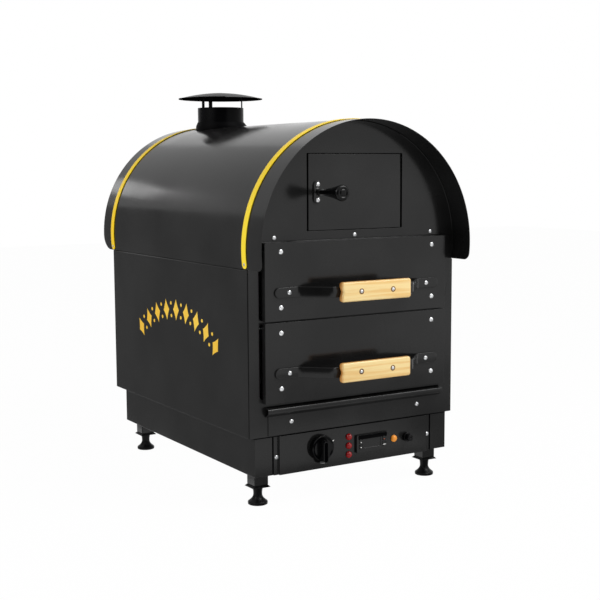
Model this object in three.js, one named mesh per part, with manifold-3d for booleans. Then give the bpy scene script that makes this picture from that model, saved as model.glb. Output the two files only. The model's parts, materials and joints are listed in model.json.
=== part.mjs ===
// A potato baking oven: a sheet steel cabinet with a barrel roof and a chimney, two baking
// drawers, a small door to the warming chamber and a control panel in its plinth.
// Millimetres, +X to the right, +Y to the rear, +Z up, origin under the middle on the floor.
import * as THREE from "three";
import { mergeVertices } from "three/addons/utils/BufferGeometryUtils.js";
import Module from "manifold-3d";

const wasm = await Module();
wasm.setup();

// Driving dimensions of the cabinet
const bodyWidth = 472;
const bodyDepth = 626;
const sideHeight = 314;
const roofDrop = 35; // how far the roof's edge lies below the barrel's axis
const hoodFront = 52; // the roof's reach past the front
const hoodRear = 48;
const hoodFrontRound = 14;
const hoodRearRound = 32;
const plinthHeight = 75;
const plinthInset = 12; // at each side
const plinthFront = 3; // behind the front frame's face
const plinthRear = 26;
const legReveal = 23; // the leg's length below the plinth
const sheet = 1.5; // outer panels
const linerSheet = 1.2; // inner panels
const seat = 0.3; // gap between two pieces that touch
const overrun = 5; // how far a cutting tool passes the face that it cuts

// Heights and radii that follow from them
const collarFlange = 4;
const footHeight = 34;
const legBottom = footHeight + collarFlange;
const plinthBottom = legBottom + legReveal;
const bodyBottom = plinthBottom + plinthHeight;
const roofEdge = bodyBottom + sideHeight;
const barrelAxis = roofEdge + roofDrop;
const halfBody = bodyWidth / 2;
const roofRadius = Math.hypot(halfBody, roofDrop);
const roofInner = roofRadius - sheet;
const archRadius = roofInner - seat;

// Front frame, its two drawer openings and the drawers' fronts
const lowerFrontRise = 64; // from the cabinet's base to the lower front
const lowerFrontShare = 0.51; // of the two fronts' height
const archLift = 49.5; // of the arch panel's lower edge above the roof's edge
const drawerSeam = 3;
const frontLap = 8; // how far a front covers the frame above and below the openings
const middleRail = 7;
const archSeam = 1.5;
const frontInset = 28; // from the cabinet's side
const frontProud = 12;
const frontStandoff = 0.6;
const stileGap = 6; // dark gap between the frame's opening and a drawer front
const openingRound = 7;
const frontRound = 2;
const frameReturn = 18.5; // depth of the frame's side flanges
const sideShadowGap = 2.5; // groove between the front frame and the side panel
const panelTongue = 14; // the side panel's joggled edge behind the roof
const joggle = 2; // height over which the edge steps inwards

const frontHalf = halfBody - frontInset;
const lowerFrontBottom = bodyBottom + lowerFrontRise;
const archBottom = roofEdge + archLift;
const upperFrontTop = archBottom - archSeam;
const frontsHeight = upperFrontTop - lowerFrontBottom - drawerSeam;
const lowerFrontTop = lowerFrontBottom + lowerFrontShare * frontsHeight;
const upperFrontBottom = lowerFrontTop + drawerSeam;
const railMiddle = (lowerFrontTop + upperFrontBottom) / 2;
const openingHalf = frontHalf + stileGap;
const drawerRows = [
  {
    name: "lower",
    front: [lowerFrontBottom, lowerFrontTop],
    opening: [lowerFrontBottom + frontLap, railMiddle - middleRail / 2],
  },
  {
    name: "upper",
    front: [upperFrontBottom, upperFrontTop],
    opening: [railMiddle + middleRail / 2, upperFrontTop - frontLap],
  },
];

// Ledge and fascia under the drawers, one bent sheet
const fasciaInset = 11; // from the drawer front's end
const fasciaBase = 1.2; // above the cabinet's base
const ledgeInset = 5;
const ledgeReach = 12;
const ledgeLip = 15;
const ledgeFall = 3;
const ledgeRise = 57; // of the ledge's rear edge above the cabinet's base

// Oven and warming chamber liners, insulation and heating elements
const linerSideGap = 1; // behind the frame's opening
const terminalDepth = 36.2; // from the liners' rear to the cabinet's rear
const ovenFloorRise = 44;
const ovenCeiling = 1.7; // above the front frame's top edge, inside
const chamberVentRadius = 20;
const chamberVentInset = 90; // from the liner's rear wall
const jacketFront = 22;
const jacketRearGap = 10; // terminal space between the liners and the rear slab
const elementRadius = 4;
const elementSpread = 80; // between two runs
const elementFrontInset = 60;
const elementRearInset = 50;
const elementLead = 8; // of its end behind the liner
const elementHole = 0.5; // clearance round a lead
const elementFloorGap = 11; // below the lowest element
const elementTopGap = 4.5; // from the upper opening to the top element
const elementRuns = 4;

// Drawer boxes and their runners
const boxGapBottom = 7;
const boxGapTop = 5;
const boxSideGap = 19; // from the frame's opening
const boxRearGap = 28.6;
const boxFlange = 12;
const flangeStart = 6;
const runnerReach = 16.7;
const runnerSheet = 1.5;
const runnerFoot = 30; // below the lower shelf
const runnerRearGap = 16.8;

// Drawer handles: a bent strap and a wooden grip
const handleDrop = 20; // below the front's middle
const strapHeight = 20;
const strapThickness = 3;
const strapInset = 20; // from the drawer front's end
const strapFoot = 51; // length of its fixed ends
const strapBare = 13; // length that shows beside the grip
const handleReach = 45;
const gripLength = 158;
const gripHeight = 37;
const gripThickness = 12;
const gripRound = 3;
const gripChamfer = 2.5;
const gripNotch = 3;
const gripNotchHeight = 22;

// Small door of the warming chamber
const doorInset = 129; // from the cabinet's side
const doorHeadroom = 64.5; // below the ridge
const doorSill = 17.5; // above the arch panel's lower edge
const doorProud = 1;
const doorReturn = 11.5;
const doorGap = 1;
const doorLatchGap = 2.6;
const doorHingeGap = 1.9;
const hingeBarrel = 4.5;
const hingePin = 1.6;
const hingePinReach = 6;
const hingeEarGap = 1;
const hingeEar = 2.5;
const hingeEarDepth = 8;
const hingeClearance = 0.3;
const doorHandleInset = 19; // from the door's free edge
const bracketWidth = 18;
const bracketHeight = 42;
const bracketThickness = 2.5;
const neckRadius = 5.5;
const neckLength = 13;
const handleLength = 74;
const handleEndRadius = 15;
const handleRoundShare = 0.35; // of the end radius, at the rim
const handleSwell = 1.5; // power by which the handle widens along its length

// Chimney
const flueRadius = 52;
const flueRear = 81; // from the cabinet's rear to the flue's axis
const flueTop = 44.5; // above the ridge
const flueTail = 10; // below the chamber's ceiling
const collarSpread = 12;
const collarRise = 12;
const collarCone = 9;
const collarSheet = 1.8;
const capRadius = 95;
const capGap = 20;
const capDome = 12;
const capLip = 3;
const capSheet = 1.5;
const strutWidth = 9;
const strutThickness = 2;
const strutGrip = 24; // overlap with the tube
const strutTurns = [-145.3, -20, 117]; // degrees

// Roof trims
const trimWidth = 16;
const trimThickness = 1.8;
const trimInset = 1; // behind the front frame's face
const trimOutset = 2; // the rear trim's reach past the rear panel
const trimLift = 1.5; // above the roof's edge

// Plinth and control panel
const panelPlate = 37; // width of the plinth's front beside the panel's opening
const panelLip = 17;
const panelLipDepth = 2.4;
const panelInset = 15; // from the opening's edge
const panelFlange = 11;
const panelProud = 4; // before the plinth's face
const panelDrop = 1; // below the plinth's edge
const panelTopGap = 1.5;
const floorLift = 1;
const baseEdge = 15; // height of the base plate's folded edges
const floorSlotLength = 90;
const floorSlotWidth = 3.5;
const floorSlotPitch = 22;
const floorSlotCount = 7;
const rearSlotHeight = 36;
const rearSlotWidth = 3.5;
const rearSlotPitch = 18;
const rearSlotCount = 8;
const glandInset = 70; // from the plinth's left side
const glandRadius = 9;
const glandFlange = 14;
const glandNose = 18;
const glandTail = 10;
const glandBore = 4.5;
const glandNut = 5;

// Legs and levelling feet
const legSize = 30;
const legWall = 2;
const legInsetSide = 25.5;
const legInsetFront = 35.5;
const legInsetRear = 46;
const floorHoleGap = 0.5;
const collarFlare = 3.5;
const collarPlug = 18;
const footRadius = 19;
const footEdge = 6;
const footShoulder = 11;
const footWaist = 8.5;
const footNeck = 9.8;
const stemRadius = 5;
const stemLength = 44;
const stemClearance = 0.4;

// Controls, measured from the panel's middle and its lower edge
const knobX = -82;
const knobRise = 42;
const knobRadius = 25;
const knobRim = 2.4; // height of the skirt's straight rim
const knobSkirt = 7;
const knobSkirtTop = 21;
const knobBarWidth = 11;
const knobBarDepth = 20;
const knobBarUp = 20;
const knobBarDown = 32;
const knobStandoff = 0.8;
const spindleRadius = 3;
const spindleTail = 9; // inside the thermostat
const spindleClearance = 0.3;
const thermostatWidth = 42;
const thermostatHeight = 36;
const thermostatDepth = 30;
const lampX = -17;
const lampRise = 19;
const lampPitch = 17.5;
const lampRadius = 6.5;
const lampDome = 5;
const lampCrownShare = 0.5; // of the radius, where the dome flattens
const lampRimShare = 0.9; // of the radius at half of the dome's height
const lampBody = 5;
const lampDepth = 22;
const amberX = 91;
const controlRow = 37; // height of the controller, the amber lamp and the fuse
const amberRadius = 7;
const amberDome = 6;
const controllerX = 36.5;
const controllerWidth = 75;
const controllerHeight = 35;
const controllerBezel = 5;
const controllerRound = 2;
const controllerBody = 3; // how much smaller the body is at each side
const controllerDepth = 58;
const windowWidth = 38;
const windowHeight = 18;
const windowDepth = 1.2;
const keyInset = 9.5; // from the controller's end to a key's middle
const keyPitch = 11;
const keyWidth = 8;
const keyHeight = 7;
const keyProud = 0.6;
const keyLength = 3;
const keyTravel = 0.8;
const keyClearance = 0.3;
const fuseX = 121;
const fuseFlange = 9;
const fuseFlangeDepth = 7;
const fuseBody = 7.5;
const fuseDepth = 26;
const fuseCapRadius = 6.3;
const fuseCapLength = 9;
const fuseStub = 3.6;
const fuseStubLength = 9;
const fuseClearance = 0.4;
const fuseSlotWidth = 1.4;
const fuseSlotDepth = 2;

const roundSteps = 32;
const turnSteps = 24;
const smallSteps = 16;
const roofSteps = 32;
const cornerSteps = 4;
const domeSteps = 2;

// Finishes
function finish(color, roughness, metalness) {
  return { color, roughness, metalness };
}
const blackCoat = finish(0x2a2a2b, 0.5, 0.25);
const steelSheet = finish(0x9a9c9e, 0.35, 0.9);
const yellowTrim = finish(0xf5c532, 0.4, 0.1);
const beech = finish(0xf0d8a0, 0.55, 0);
const blackPlastic = finish(0x121213, 0.3, 0);
const woolBlanket = finish(0xc9bc9a, 0.95, 0);
const redLens = finish(0xd0161a, 0.2, 0);
const amberLens = finish(0xf08a1c, 0.2, 0);

// Shapes, solids and the ways in which they are placed

// Turns a closed three.js geometry into a solid that can be joined and cut.
function solid(geometry) {
  const plain = geometry.index ? geometry.toNonIndexed() : geometry;
  const bare = new THREE.BufferGeometry();
  bare.setAttribute("position", plain.getAttribute("position"));
  const merged = mergeVertices(bare);
  const index = merged.index.array;
  const corners = [];
  for (let i = 0; i < index.length; i += 3) {
    const [a, b, c] = index.slice(i, i + 3);
    if (a !== b && b !== c && c !== a) corners.push(a, b, c);
  }
  return new wasm.Manifold(
    new wasm.Mesh({
      numProp: 3,
      vertProperties: merged.getAttribute("position").array,
      triVerts: new Uint32Array(corners),
    }),
  );
}

// Turns a solid back into a geometry.
function geometryOf(body) {
  const { vertProperties, triVerts } = body.getMesh();
  const geometry = new THREE.BufferGeometry();
  geometry.setAttribute("position", new THREE.BufferAttribute(vertProperties, 3));
  geometry.setIndex(new THREE.BufferAttribute(triVerts, 1));
  geometry.computeVertexNormals();
  return geometry;
}

// Adds one named piece to a group.
function piece(group, name, body, look) {
  const mesh = new THREE.Mesh(geometryOf(body), new THREE.MeshStandardMaterial(look));
  mesh.name = name;
  group.add(mesh);
  return mesh;
}

function joined(bodies) {
  return bodies.reduce((whole, body) => whole.add(body));
}

// A body drawn for the right side, mirrored where it belongs to the left.
function onSide(body, side) {
  return side < 0 ? body.mirror([1, 0, 0]) : body;
}

// A box from its lowest to its highest corner.
function block([x0, y0, z0], [x1, y1, z1]) {
  const geometry = new THREE.BoxGeometry(x1 - x0, y1 - y0, z1 - z0);
  geometry.translate((x0 + x1) / 2, (y0 + y1) / 2, (z0 + z1) / 2);
  return solid(geometry);
}

// A prism of an outline, with the outline's axes and its run given as directions.
function prism(outline, [start, end], across, up, along, steps = roundSteps) {
  const geometry = new THREE.ExtrudeGeometry(outline, {
    depth: end - start,
    bevelEnabled: false,
    curveSegments: steps,
  });
  geometry.translate(0, 0, start);
  geometry.applyMatrix4(new THREE.Matrix4().makeBasis(across, up, along));
  return solid(geometry);
}

const X = new THREE.Vector3(1, 0, 0);
const Y = new THREE.Vector3(0, 1, 0);
const Z = new THREE.Vector3(0, 0, 1);
const backwards = new THREE.Vector3(0, -1, 0);

// Outline in X and Z, run from the front y to the rear y.
function prismY(outline, [front, rear], steps) {
  return prism(outline, [-rear, -front], X, Z, backwards, steps);
}

// Outline in Y and Z, run along X.
function prismX(outline, run, steps) {
  return prism(outline, run, Y, Z, X, steps);
}

// Outline in X and Y, run along Z.
function prismZ(outline, run, steps) {
  return prism(outline, run, X, Y, Z, steps);
}

// A solid of revolution. Its profile is a list of radius and height, closed on itself.
function revolve(profile, axis, steps = roundSteps) {
  const points = profile.map(([r, h]) => new THREE.Vector2(r, h));
  if (THREE.ShapeUtils.area(points) < 0) points.reverse();
  const geometry = new THREE.LatheGeometry([...points, points[0]], steps);
  const turn = new THREE.Quaternion().setFromUnitVectors(Y, axis);
  geometry.applyQuaternion(turn);
  return solid(geometry);
}

// A round bar or hole from one height to another on an axis through x, y or z.
function rod(radius, [start, end], axis, place, steps = roundSteps) {
  const profile = [[0, start], [radius, start], [radius, end], [0, end]];
  return revolve(profile, axis, steps).translate(place);
}

function roundedOutline(x0, y0, x1, y1, radius) {
  const shape = new THREE.Shape();
  shape.absarc(x1 - radius, y0 + radius, radius, -Math.PI / 2, 0);
  shape.absarc(x1 - radius, y1 - radius, radius, 0, Math.PI / 2);
  shape.absarc(x0 + radius, y1 - radius, radius, Math.PI / 2, Math.PI);
  shape.absarc(x0 + radius, y0 + radius, radius, Math.PI, 1.5 * Math.PI);
  shape.closePath();
  return shape;
}

// A run that is symmetrical about the middle.
function span(half) {
  return [-half, half];
}

// The outline of a bent sheet whose middle line follows the points, with mitred bends.
function sheetOutline(points, thickness) {
  const route = points.map(([x, y]) => new THREE.Vector2(x, y));
  const side = (sign) =>
    route.map((point, i) => {
      const before = route[Math.max(i, 1)].clone().sub(route[Math.max(i, 1) - 1]).normalize();
      const last = Math.min(i, route.length - 2);
      const after = route[last + 1].clone().sub(route[last]).normalize();
      const normal = new THREE.Vector2(-before.y - after.y, before.x + after.x).normalize();
      const reach = thickness / 2 / normal.dot(new THREE.Vector2(-before.y, before.x));
      return point.clone().addScaledVector(normal, sign * reach);
    });
  return new THREE.Shape([...side(1), ...side(-1).reverse()]);
}

// The part of a ring, centred on the barrel's axis, that lies above a height.
function arch(outer, inner, above) {
  const from = Math.asin((above - barrelAxis) / outer);
  const fromInner = Math.asin((above - barrelAxis) / inner);
  const shape = new THREE.Shape();
  shape.absarc(0, barrelAxis, outer, from, Math.PI - from);
  shape.absarc(0, barrelAxis, inner, Math.PI - fromInner, fromInner, true);
  shape.closePath();
  return shape;
}

// The full section under the barrel of a radius, above a height.
function archSegment(radius, above) {
  const from = Math.asin((above - barrelAxis) / radius);
  const shape = new THREE.Shape();
  shape.absarc(0, barrelAxis, radius, from, Math.PI - from);
  shape.closePath();
  return shape;
}

// A tube along points that a route names one by one.
class Route extends THREE.Curve {
  constructor(points) {
    super();
    this.points = points;
  }

  getPoint(t) {
    const last = this.points.length - 1;
    const at = Math.min(Math.floor(t * last), last - 1);
    return this.points[at].clone().lerp(this.points[at + 1], t * last - at);
  }

  getPointAt(u) {
    return this.getPoint(u);
  }

  getTangentAt(u) {
    const last = this.points.length - 1;
    const at = Math.round(u * last);
    const next = this.points[Math.min(at + 1, last)];
    return next.clone().sub(this.points[Math.max(at - 1, 0)]).normalize();
  }
}

function tube(points, radius, sides) {
  const outline = new THREE.Shape();
  outline.absarc(0, 0, radius, 0, 2 * Math.PI);
  const geometry = new THREE.ExtrudeGeometry(outline, {
    steps: points.length - 1,
    extrudePath: new Route(points),
    bevelEnabled: false,
    curveSegments: sides,
  });
  return solid(geometry);
}

// Cabinet shell

function sidePanel(side) {
  const outer = halfBody - sheet / 2;
  const tucked = halfBody - sheet - seat - sheet / 2;
  const bend = roofEdge - seat - joggle;
  const profile = sheetOutline(
    [
      [outer, bodyBottom],
      [outer, bend],
      [tucked, bend + joggle],
      [tucked, roofEdge + panelTongue],
    ],
    sheet,
  );
  const run = [sheet + sideShadowGap, bodyDepth - sheet - seat];
  return onSide(prismY(profile, run), side);
}

// The flat face under the roof that the front frame and the rear panel share.
function endFace(top) {
  const lower = new THREE.Shape();
  const shoulder = roofEdge - 2 * seat;
  lower.moveTo(-halfBody, bodyBottom);
  lower.lineTo(halfBody, bodyBottom);
  lower.lineTo(halfBody, shoulder);
  lower.lineTo(-halfBody, shoulder);
  const face = prismY(lower, [0, sheet]);
  const under = prismY(archSegment(archRadius, shoulder - overrun), [0, sheet], roofSteps);
  const limit = block([-halfBody, 0, bodyBottom], [halfBody, sheet, top]);
  return face.add(under.intersect(limit));
}

function sideFlanges(front, rear) {
  const outer = halfBody - sheet - seat;
  const low = bodyBottom + sheet + seat;
  const high = roofEdge - joggle - overrun;
  return [-1, 1].map((side) => {
    const xs = [side * outer, side * (outer - sheet)].sort((a, b) => a - b);
    return block([xs[0], front, low], [xs[1], rear, high]);
  });
}

function frontFrame() {
  let frame = endFace(archBottom - seat);
  for (const row of drawerRows) {
    const [low, high] = row.opening;
    const hole = roundedOutline(-openingHalf, low, openingHalf, high, openingRound);
    frame = frame.subtract(prismY(hole, [-overrun, sheet + overrun], cornerSteps));
  }
  return joined([frame, ...sideFlanges(sheet / 2, sheet + frameReturn)]);
}

function rearPanel() {
  const face = endFace(barrelAxis + archRadius).translate([0, bodyDepth - sheet, 0]);
  const flanges = sideFlanges(bodyDepth - sheet - frameReturn, bodyDepth - sheet / 2);
  return joined([face, ...flanges]);
}

function roofOutline() {
  const outline = new THREE.Shape();
  const front = -hoodFront;
  const rear = bodyDepth + hoodRear;
  const top = barrelAxis + roofRadius + overrun;
  outline.moveTo(rear, top);
  outline.lineTo(front, top);
  outline.absarc(front + hoodFrontRound, roofEdge + hoodFrontRound, hoodFrontRound,
    Math.PI, 1.5 * Math.PI);
  outline.absarc(rear - hoodRearRound, roofEdge + hoodRearRound, hoodRearRound,
    -Math.PI / 2, 0);
  outline.closePath();
  return outline;
}

const flueY = bodyDepth - flueRear;

function roofSheet() {
  const run = [-hoodFront, bodyDepth + hoodRear];
  const barrel = prismY(arch(roofRadius, roofInner, roofEdge), run, roofSteps);
  const width = [-roofRadius - overrun, roofRadius + overrun];
  const rounded = barrel.intersect(prismX(roofOutline(), width, cornerSteps));
  const ridge = [barrelAxis + roofRadius - capRadius, barrelAxis + roofRadius + overrun];
  return rounded.subtract(rod(flueRadius + seat, ridge, Z, [0, flueY, 0]));
}

function roofTrim(front) {
  const inner = roofRadius + seat;
  const run = [front, front + trimWidth];
  const low = roofEdge + trimLift;
  const band = prismY(arch(inner + trimThickness, inner, low), run, roofSteps);
  const top = barrelAxis + inner + trimThickness + overrun;
  const outline = new THREE.Shape();
  const round = trimWidth / 2;
  outline.moveTo(run[1], top);
  outline.lineTo(run[0], top);
  outline.absarc(run[0] + round, low + round, round, Math.PI, 2 * Math.PI);
  outline.closePath();
  const width = [-roofRadius - trimWidth, roofRadius + trimWidth];
  return band.intersect(prismX(outline, width, 2 * cornerSteps));
}

function basePlate() {
  const half = halfBody - sheet - seat;
  const top = bodyBottom + sheet;
  const plate = block([-half, sheet + seat, bodyBottom], [half, bodyDepth - sheet - seat, top]);
  const clear = frameReturn + 2 * sheet;
  const edges = [-half, half - sheet].map((x) =>
    block([x, clear, bodyBottom], [x + sheet, bodyDepth - clear, top + baseEdge]));
  return joined([plate, ...edges]);
}

function ledgeFascia() {
  const back = -seat - sheet / 2;
  const rear = bodyBottom + ledgeRise;
  const lipTop = rear - ledgeFall;
  const shelf = [
    [back, lipTop - ledgeLip],
    [-ledgeReach - seat, lipTop - ledgeLip],
    [-ledgeReach - seat, lipTop],
    [back, rear],
  ];
  const fascia = [[back, bodyBottom + fasciaBase], shelf[0], shelf[1]];
  return joined([
    prismX(sheetOutline(shelf, sheet), span(frontHalf - ledgeInset)),
    prismX(sheetOutline(fascia, sheet), span(frontHalf - fasciaInset)),
  ]);
}

function archPanel() {
  const segment = archSegment(archRadius, archBottom);
  const face = prismY(segment, [0, sheet], roofSteps);
  const hole = block(
    [-doorHalf - doorLatchGap, -overrun, doorBottom - doorGap],
    [doorHalf + doorHingeGap, sheet + overrun, doorTop + doorGap],
  );
  const opened = face.subtract(hole);
  const ears = [doorBottom - doorGap - hingeEarGap - hingeEar, doorTop + doorGap + hingeEarGap];
  const lugs = ears.map((z) => {
    const half = hingeBarrel + hingePin;
    const ear = block([hingeX - half, sheet / 2, z], [hingeX + half, hingeEarDepth, z + hingeEar]);
    const reach = [-overrun, hingeEar + overrun];
    return ear.subtract(rod(hingePin + hingeClearance, reach, Z, [hingeX, hingeY, z], smallSteps));
  });
  return joined([opened, ...lugs]);
}

// Liners, insulation, elements and runners

const linerHalf = openingHalf + linerSideGap;
const ovenFloor = bodyBottom + ovenFloorRise;
const ovenTop = archBottom - seat + ovenCeiling - linerSheet;
const linerFront = sheet + seat;
const linerRear = bodyDepth - terminalDepth;
const chamberFloor = ovenTop + linerSheet + seat;
const elementHeights = {
  lower: ovenFloor + elementFloorGap,
  middle: railMiddle,
  upper: drawerRows[1].opening[1] + elementTopGap,
};
const elementOuterRun = (elementSpread * (elementRuns - 1)) / 2;

function ventHole() {
  const reach = [ovenTop - overrun, chamberFloor + linerSheet + overrun];
  return rod(chamberVentRadius, reach, Z, [0, linerRear - chamberVentInset, 0], smallSteps);
}

function leadHoles() {
  const reach = [linerRear - linerSheet - overrun, linerRear + overrun];
  const radius = elementRadius + elementHole;
  return joined(
    Object.values(elementHeights).flatMap((z) =>
      [-1, 1].map((side) => rod(radius, reach, Y, [side * elementOuterRun, 0, z], smallSteps))),
  );
}

function ovenLiner() {
  const outer = linerHalf + linerSheet;
  const shell = block(
    [-outer, linerFront, ovenFloor - linerSheet],
    [outer, linerRear, ovenTop + linerSheet],
  );
  const room = block(
    [-linerHalf, linerFront - overrun, ovenFloor],
    [linerHalf, linerRear - linerSheet, ovenTop],
  );
  return shell.subtract(room).subtract(ventHole()).subtract(leadHoles());
}

function chamberLiner() {
  const floor = chamberFloor + linerSheet;
  const shell = prismY(archSegment(linerHalf + linerSheet, chamberFloor),
    [linerFront, linerRear], roofSteps);
  const room = prismY(archSegment(linerHalf, floor),
    [linerFront - overrun, linerRear - linerSheet], roofSteps);
  const flue = rod(flueRadius + seat, [floor + overrun, barrelAxis + roofRadius], Z,
    [0, flueY, 0]);
  return shell.subtract(room).subtract(flue).subtract(ventHole());
}

function insulationJacket() {
  const outer = halfBody - 2 * sheet - 2 * seat - seat;
  const inner = linerHalf + linerSheet + seat;
  const low = bodyBottom + sheet + seat;
  const rear = bodyDepth - sheet - seat;
  const section = (half, bottom, shoulder) => {
    const shape = new THREE.Shape();
    const from = Math.asin((shoulder - barrelAxis) / half);
    shape.moveTo(-half, bottom);
    shape.lineTo(half, bottom);
    shape.lineTo(half, shoulder);
    shape.absarc(0, barrelAxis, half, from, Math.PI - from);
    shape.lineTo(-half, shoulder);
    shape.closePath();
    return shape;
  };
  const whole = prismY(section(outer, low, barrelAxis), [jacketFront, rear], roofSteps);
  const hollow = prismY(section(inner, low - overrun, chamberFloor),
    [jacketFront - overrun, linerRear + jacketRearGap], roofSteps);
  const flue = rod(flueRadius + 2 * seat, [barrelAxis, barrelAxis + roofRadius], Z,
    [0, flueY, 0]);
  return whole.subtract(hollow).subtract(flue);
}

// A tubular element: parallel runs joined by round bends, with both ends to the rear.
function heatingElement(z) {
  const bend = elementSpread / 2;
  const front = linerFront + elementFrontInset + bend;
  const back = linerRear - elementRearInset - bend;
  const end = linerRear + elementLead;
  const points = [new THREE.Vector3(-elementOuterRun, end, z)];
  for (let run = 0; run + 1 < elementRuns; run += 1) {
    const atFront = run % 2 === 0;
    const centre = -elementOuterRun + bend + run * elementSpread;
    for (let step = 0; step <= 2 * cornerSteps; step += 1) {
      const angle = Math.PI - (Math.PI * step) / (2 * cornerSteps);
      const swing = bend * Math.sin(angle) * (atFront ? -1 : 1);
      const y = (atFront ? front : back) + swing;
      points.push(new THREE.Vector3(centre + bend * Math.cos(angle), y, z));
    }
  }
  points.push(new THREE.Vector3(elementOuterRun, end, z));
  return tube(points, elementRadius, cornerSteps);
}

function shelfTop(row) {
  return row.opening[1] - boxGapTop - linerSheet - seat;
}

function runner(side) {
  const outer = linerHalf - seat;
  const [lower, upper] = drawerRows.map(shelfTop);
  const front = linerFront + seat;
  const rear = linerRear - linerSheet - runnerRearGap;
  const plate = block([outer - runnerSheet, front, lower - runnerFoot], [outer, rear, upper]);
  const shelves = [lower, upper].map((top) =>
    block([outer - runnerReach, front, top - runnerSheet], [outer, rear, top]));
  return onSide(joined([plate, ...shelves]), side);
}

// Drawers

function drawerFront([low, high]) {
  const half = frontHalf;
  const rear = -frontStandoff;
  const shell = prismY(roundedOutline(-half, low, half, high, frontRound),
    [-frontProud, rear], cornerSteps);
  const hollow = block(
    [-half + sheet, -frontProud + sheet, low + sheet],
    [half - sheet, rear + overrun, high - sheet],
  );
  return shell.subtract(hollow);
}

function drawerBox(row) {
  const low = row.opening[0] + boxGapBottom;
  const high = row.opening[1] - boxGapTop;
  const front = -frontProud + sheet + seat;
  const rear = linerRear - linerSheet - boxRearGap;
  const half = openingHalf - boxSideGap;
  const shell = block([-half, front, low], [half, rear, high]);
  const room = block(
    [-half + linerSheet, front + linerSheet, low + linerSheet],
    [half - linerSheet, rear - linerSheet, high + overrun],
  );
  const flanges = [-1, 1].map((side) => {
    const xs = [side * (half - linerSheet / 2), side * (half + boxFlange)];
    xs.sort((a, b) => a - b);
    return block([xs[0], flangeStart, high - linerSheet], [xs[1], rear, high]);
  });
  return joined([shell.subtract(room), ...flanges]);
}

function handleMiddle([low, high]) {
  return (low + high) / 2 - handleDrop;
}

const strapBack = -frontProud - seat;

function drawerStrap(middle) {
  const near = strapBack - strapThickness / 2;
  const far = near - handleReach;
  const end = frontHalf - strapInset;
  const bend = end - strapFoot;
  const flat = gripLength / 2 + strapBare;
  const route = [[-end, near], [-bend, near], [-flat, far], [flat, far], [bend, near], [end, near]];
  const half = strapHeight / 2;
  const bar = prismZ(sheetOutline(route, strapThickness), [middle - half, middle + half]);
  const ends = roundedOutline(-end, middle - half, end, middle + half, half - seat);
  return bar.intersect(prismY(ends, [far - overrun, overrun], 2 * cornerSteps));
}

// The grip's face, a long board whose ends are drawn in where the strap leaves it.
function gripOutline(middle) {
  const shape = new THREE.Shape();
  const long = gripLength / 2 - gripChamfer;
  const high = gripHeight / 2 - gripChamfer;
  const notch = gripNotchHeight / 2;
  for (const side of [1, -1]) {
    shape.absarc(side * (long - gripRound), middle - side * (high - gripRound), gripRound,
      side > 0 ? -Math.PI / 2 : Math.PI / 2, side > 0 ? 0 : Math.PI);
    shape.lineTo(side * long, middle - side * notch);
    shape.quadraticCurveTo(side * (long - 2 * gripNotch), middle, side * long,
      middle + side * notch);
    shape.absarc(side * (long - gripRound), middle + side * (high - gripRound), gripRound,
      side > 0 ? 0 : Math.PI, side > 0 ? Math.PI / 2 : 1.5 * Math.PI);
  }
  shape.closePath();
  return shape;
}

function drawerGrip(middle) {
  const rear = strapBack - strapThickness - handleReach - seat;
  const geometry = new THREE.ExtrudeGeometry(gripOutline(middle), {
    depth: gripThickness - 2 * gripChamfer,
    bevelThickness: gripChamfer,
    bevelSize: gripChamfer,
    bevelSegments: 2,
    curveSegments: cornerSteps,
  });
  geometry.translate(0, 0, gripChamfer);
  geometry.applyMatrix4(new THREE.Matrix4().makeBasis(X, Z, backwards));
  geometry.translate(0, rear, 0);
  return solid(geometry);
}

// Door of the warming chamber

const doorHalf = halfBody - doorInset;
const doorBottom = archBottom + doorSill;
const doorTop = barrelAxis + roofRadius - doorHeadroom;
const hingeX = doorHalf - hingeBarrel;
const hingeY = hingeBarrel - doorProud;
const doorHandleX = -doorHalf + doorHandleInset;
const doorHandleZ = (doorBottom + doorTop) / 2;

function doorPanel() {
  const left = -doorHalf;
  const front = -doorProud;
  const rear = front + doorReturn;
  const inner = hingeX - hingeBarrel - doorGap;
  const face = block([left, front, doorBottom], [hingeX, front + sheet, doorTop]);
  const tray = block([left, front, doorBottom], [inner, rear, doorTop]);
  const hollow = block(
    [left + sheet, front + sheet, doorBottom + sheet],
    [inner + overrun, rear + overrun, doorTop - sheet],
  );
  const barrel = rod(hingeBarrel, [doorBottom, doorTop], Z, [hingeX, hingeY, 0]);
  const reach = [doorBottom - hingePinReach, doorTop + hingePinReach];
  const pin = rod(hingePin, reach, Z, [hingeX, hingeY, 0], smallSteps);
  return joined([face, tray.subtract(hollow), barrel, pin]);
}

function handleBracket() {
  const back = -doorProud - seat;
  const half = bracketHeight / 2;
  const width = bracketWidth / 2;
  const outline = roundedOutline(-width, -half, width, half, width - seat);
  const flange = prismY(outline, [back - bracketThickness, back], 2 * cornerSteps);
  const profile = [
    [0, 0],
    [neckRadius + bracketThickness, 0],
    [neckRadius, bracketThickness + neckRadius],
    [neckRadius, neckLength],
    [0, neckLength],
  ];
  const neck = revolve(profile, backwards).translate([0, back - bracketThickness / 2, 0]);
  return flange.add(neck).translate([doorHandleX, 0, doorHandleZ]);
}

const handleStart = doorProud + seat + bracketThickness / 2 + neckLength + seat;
const handleTip = handleStart + handleLength;

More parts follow.
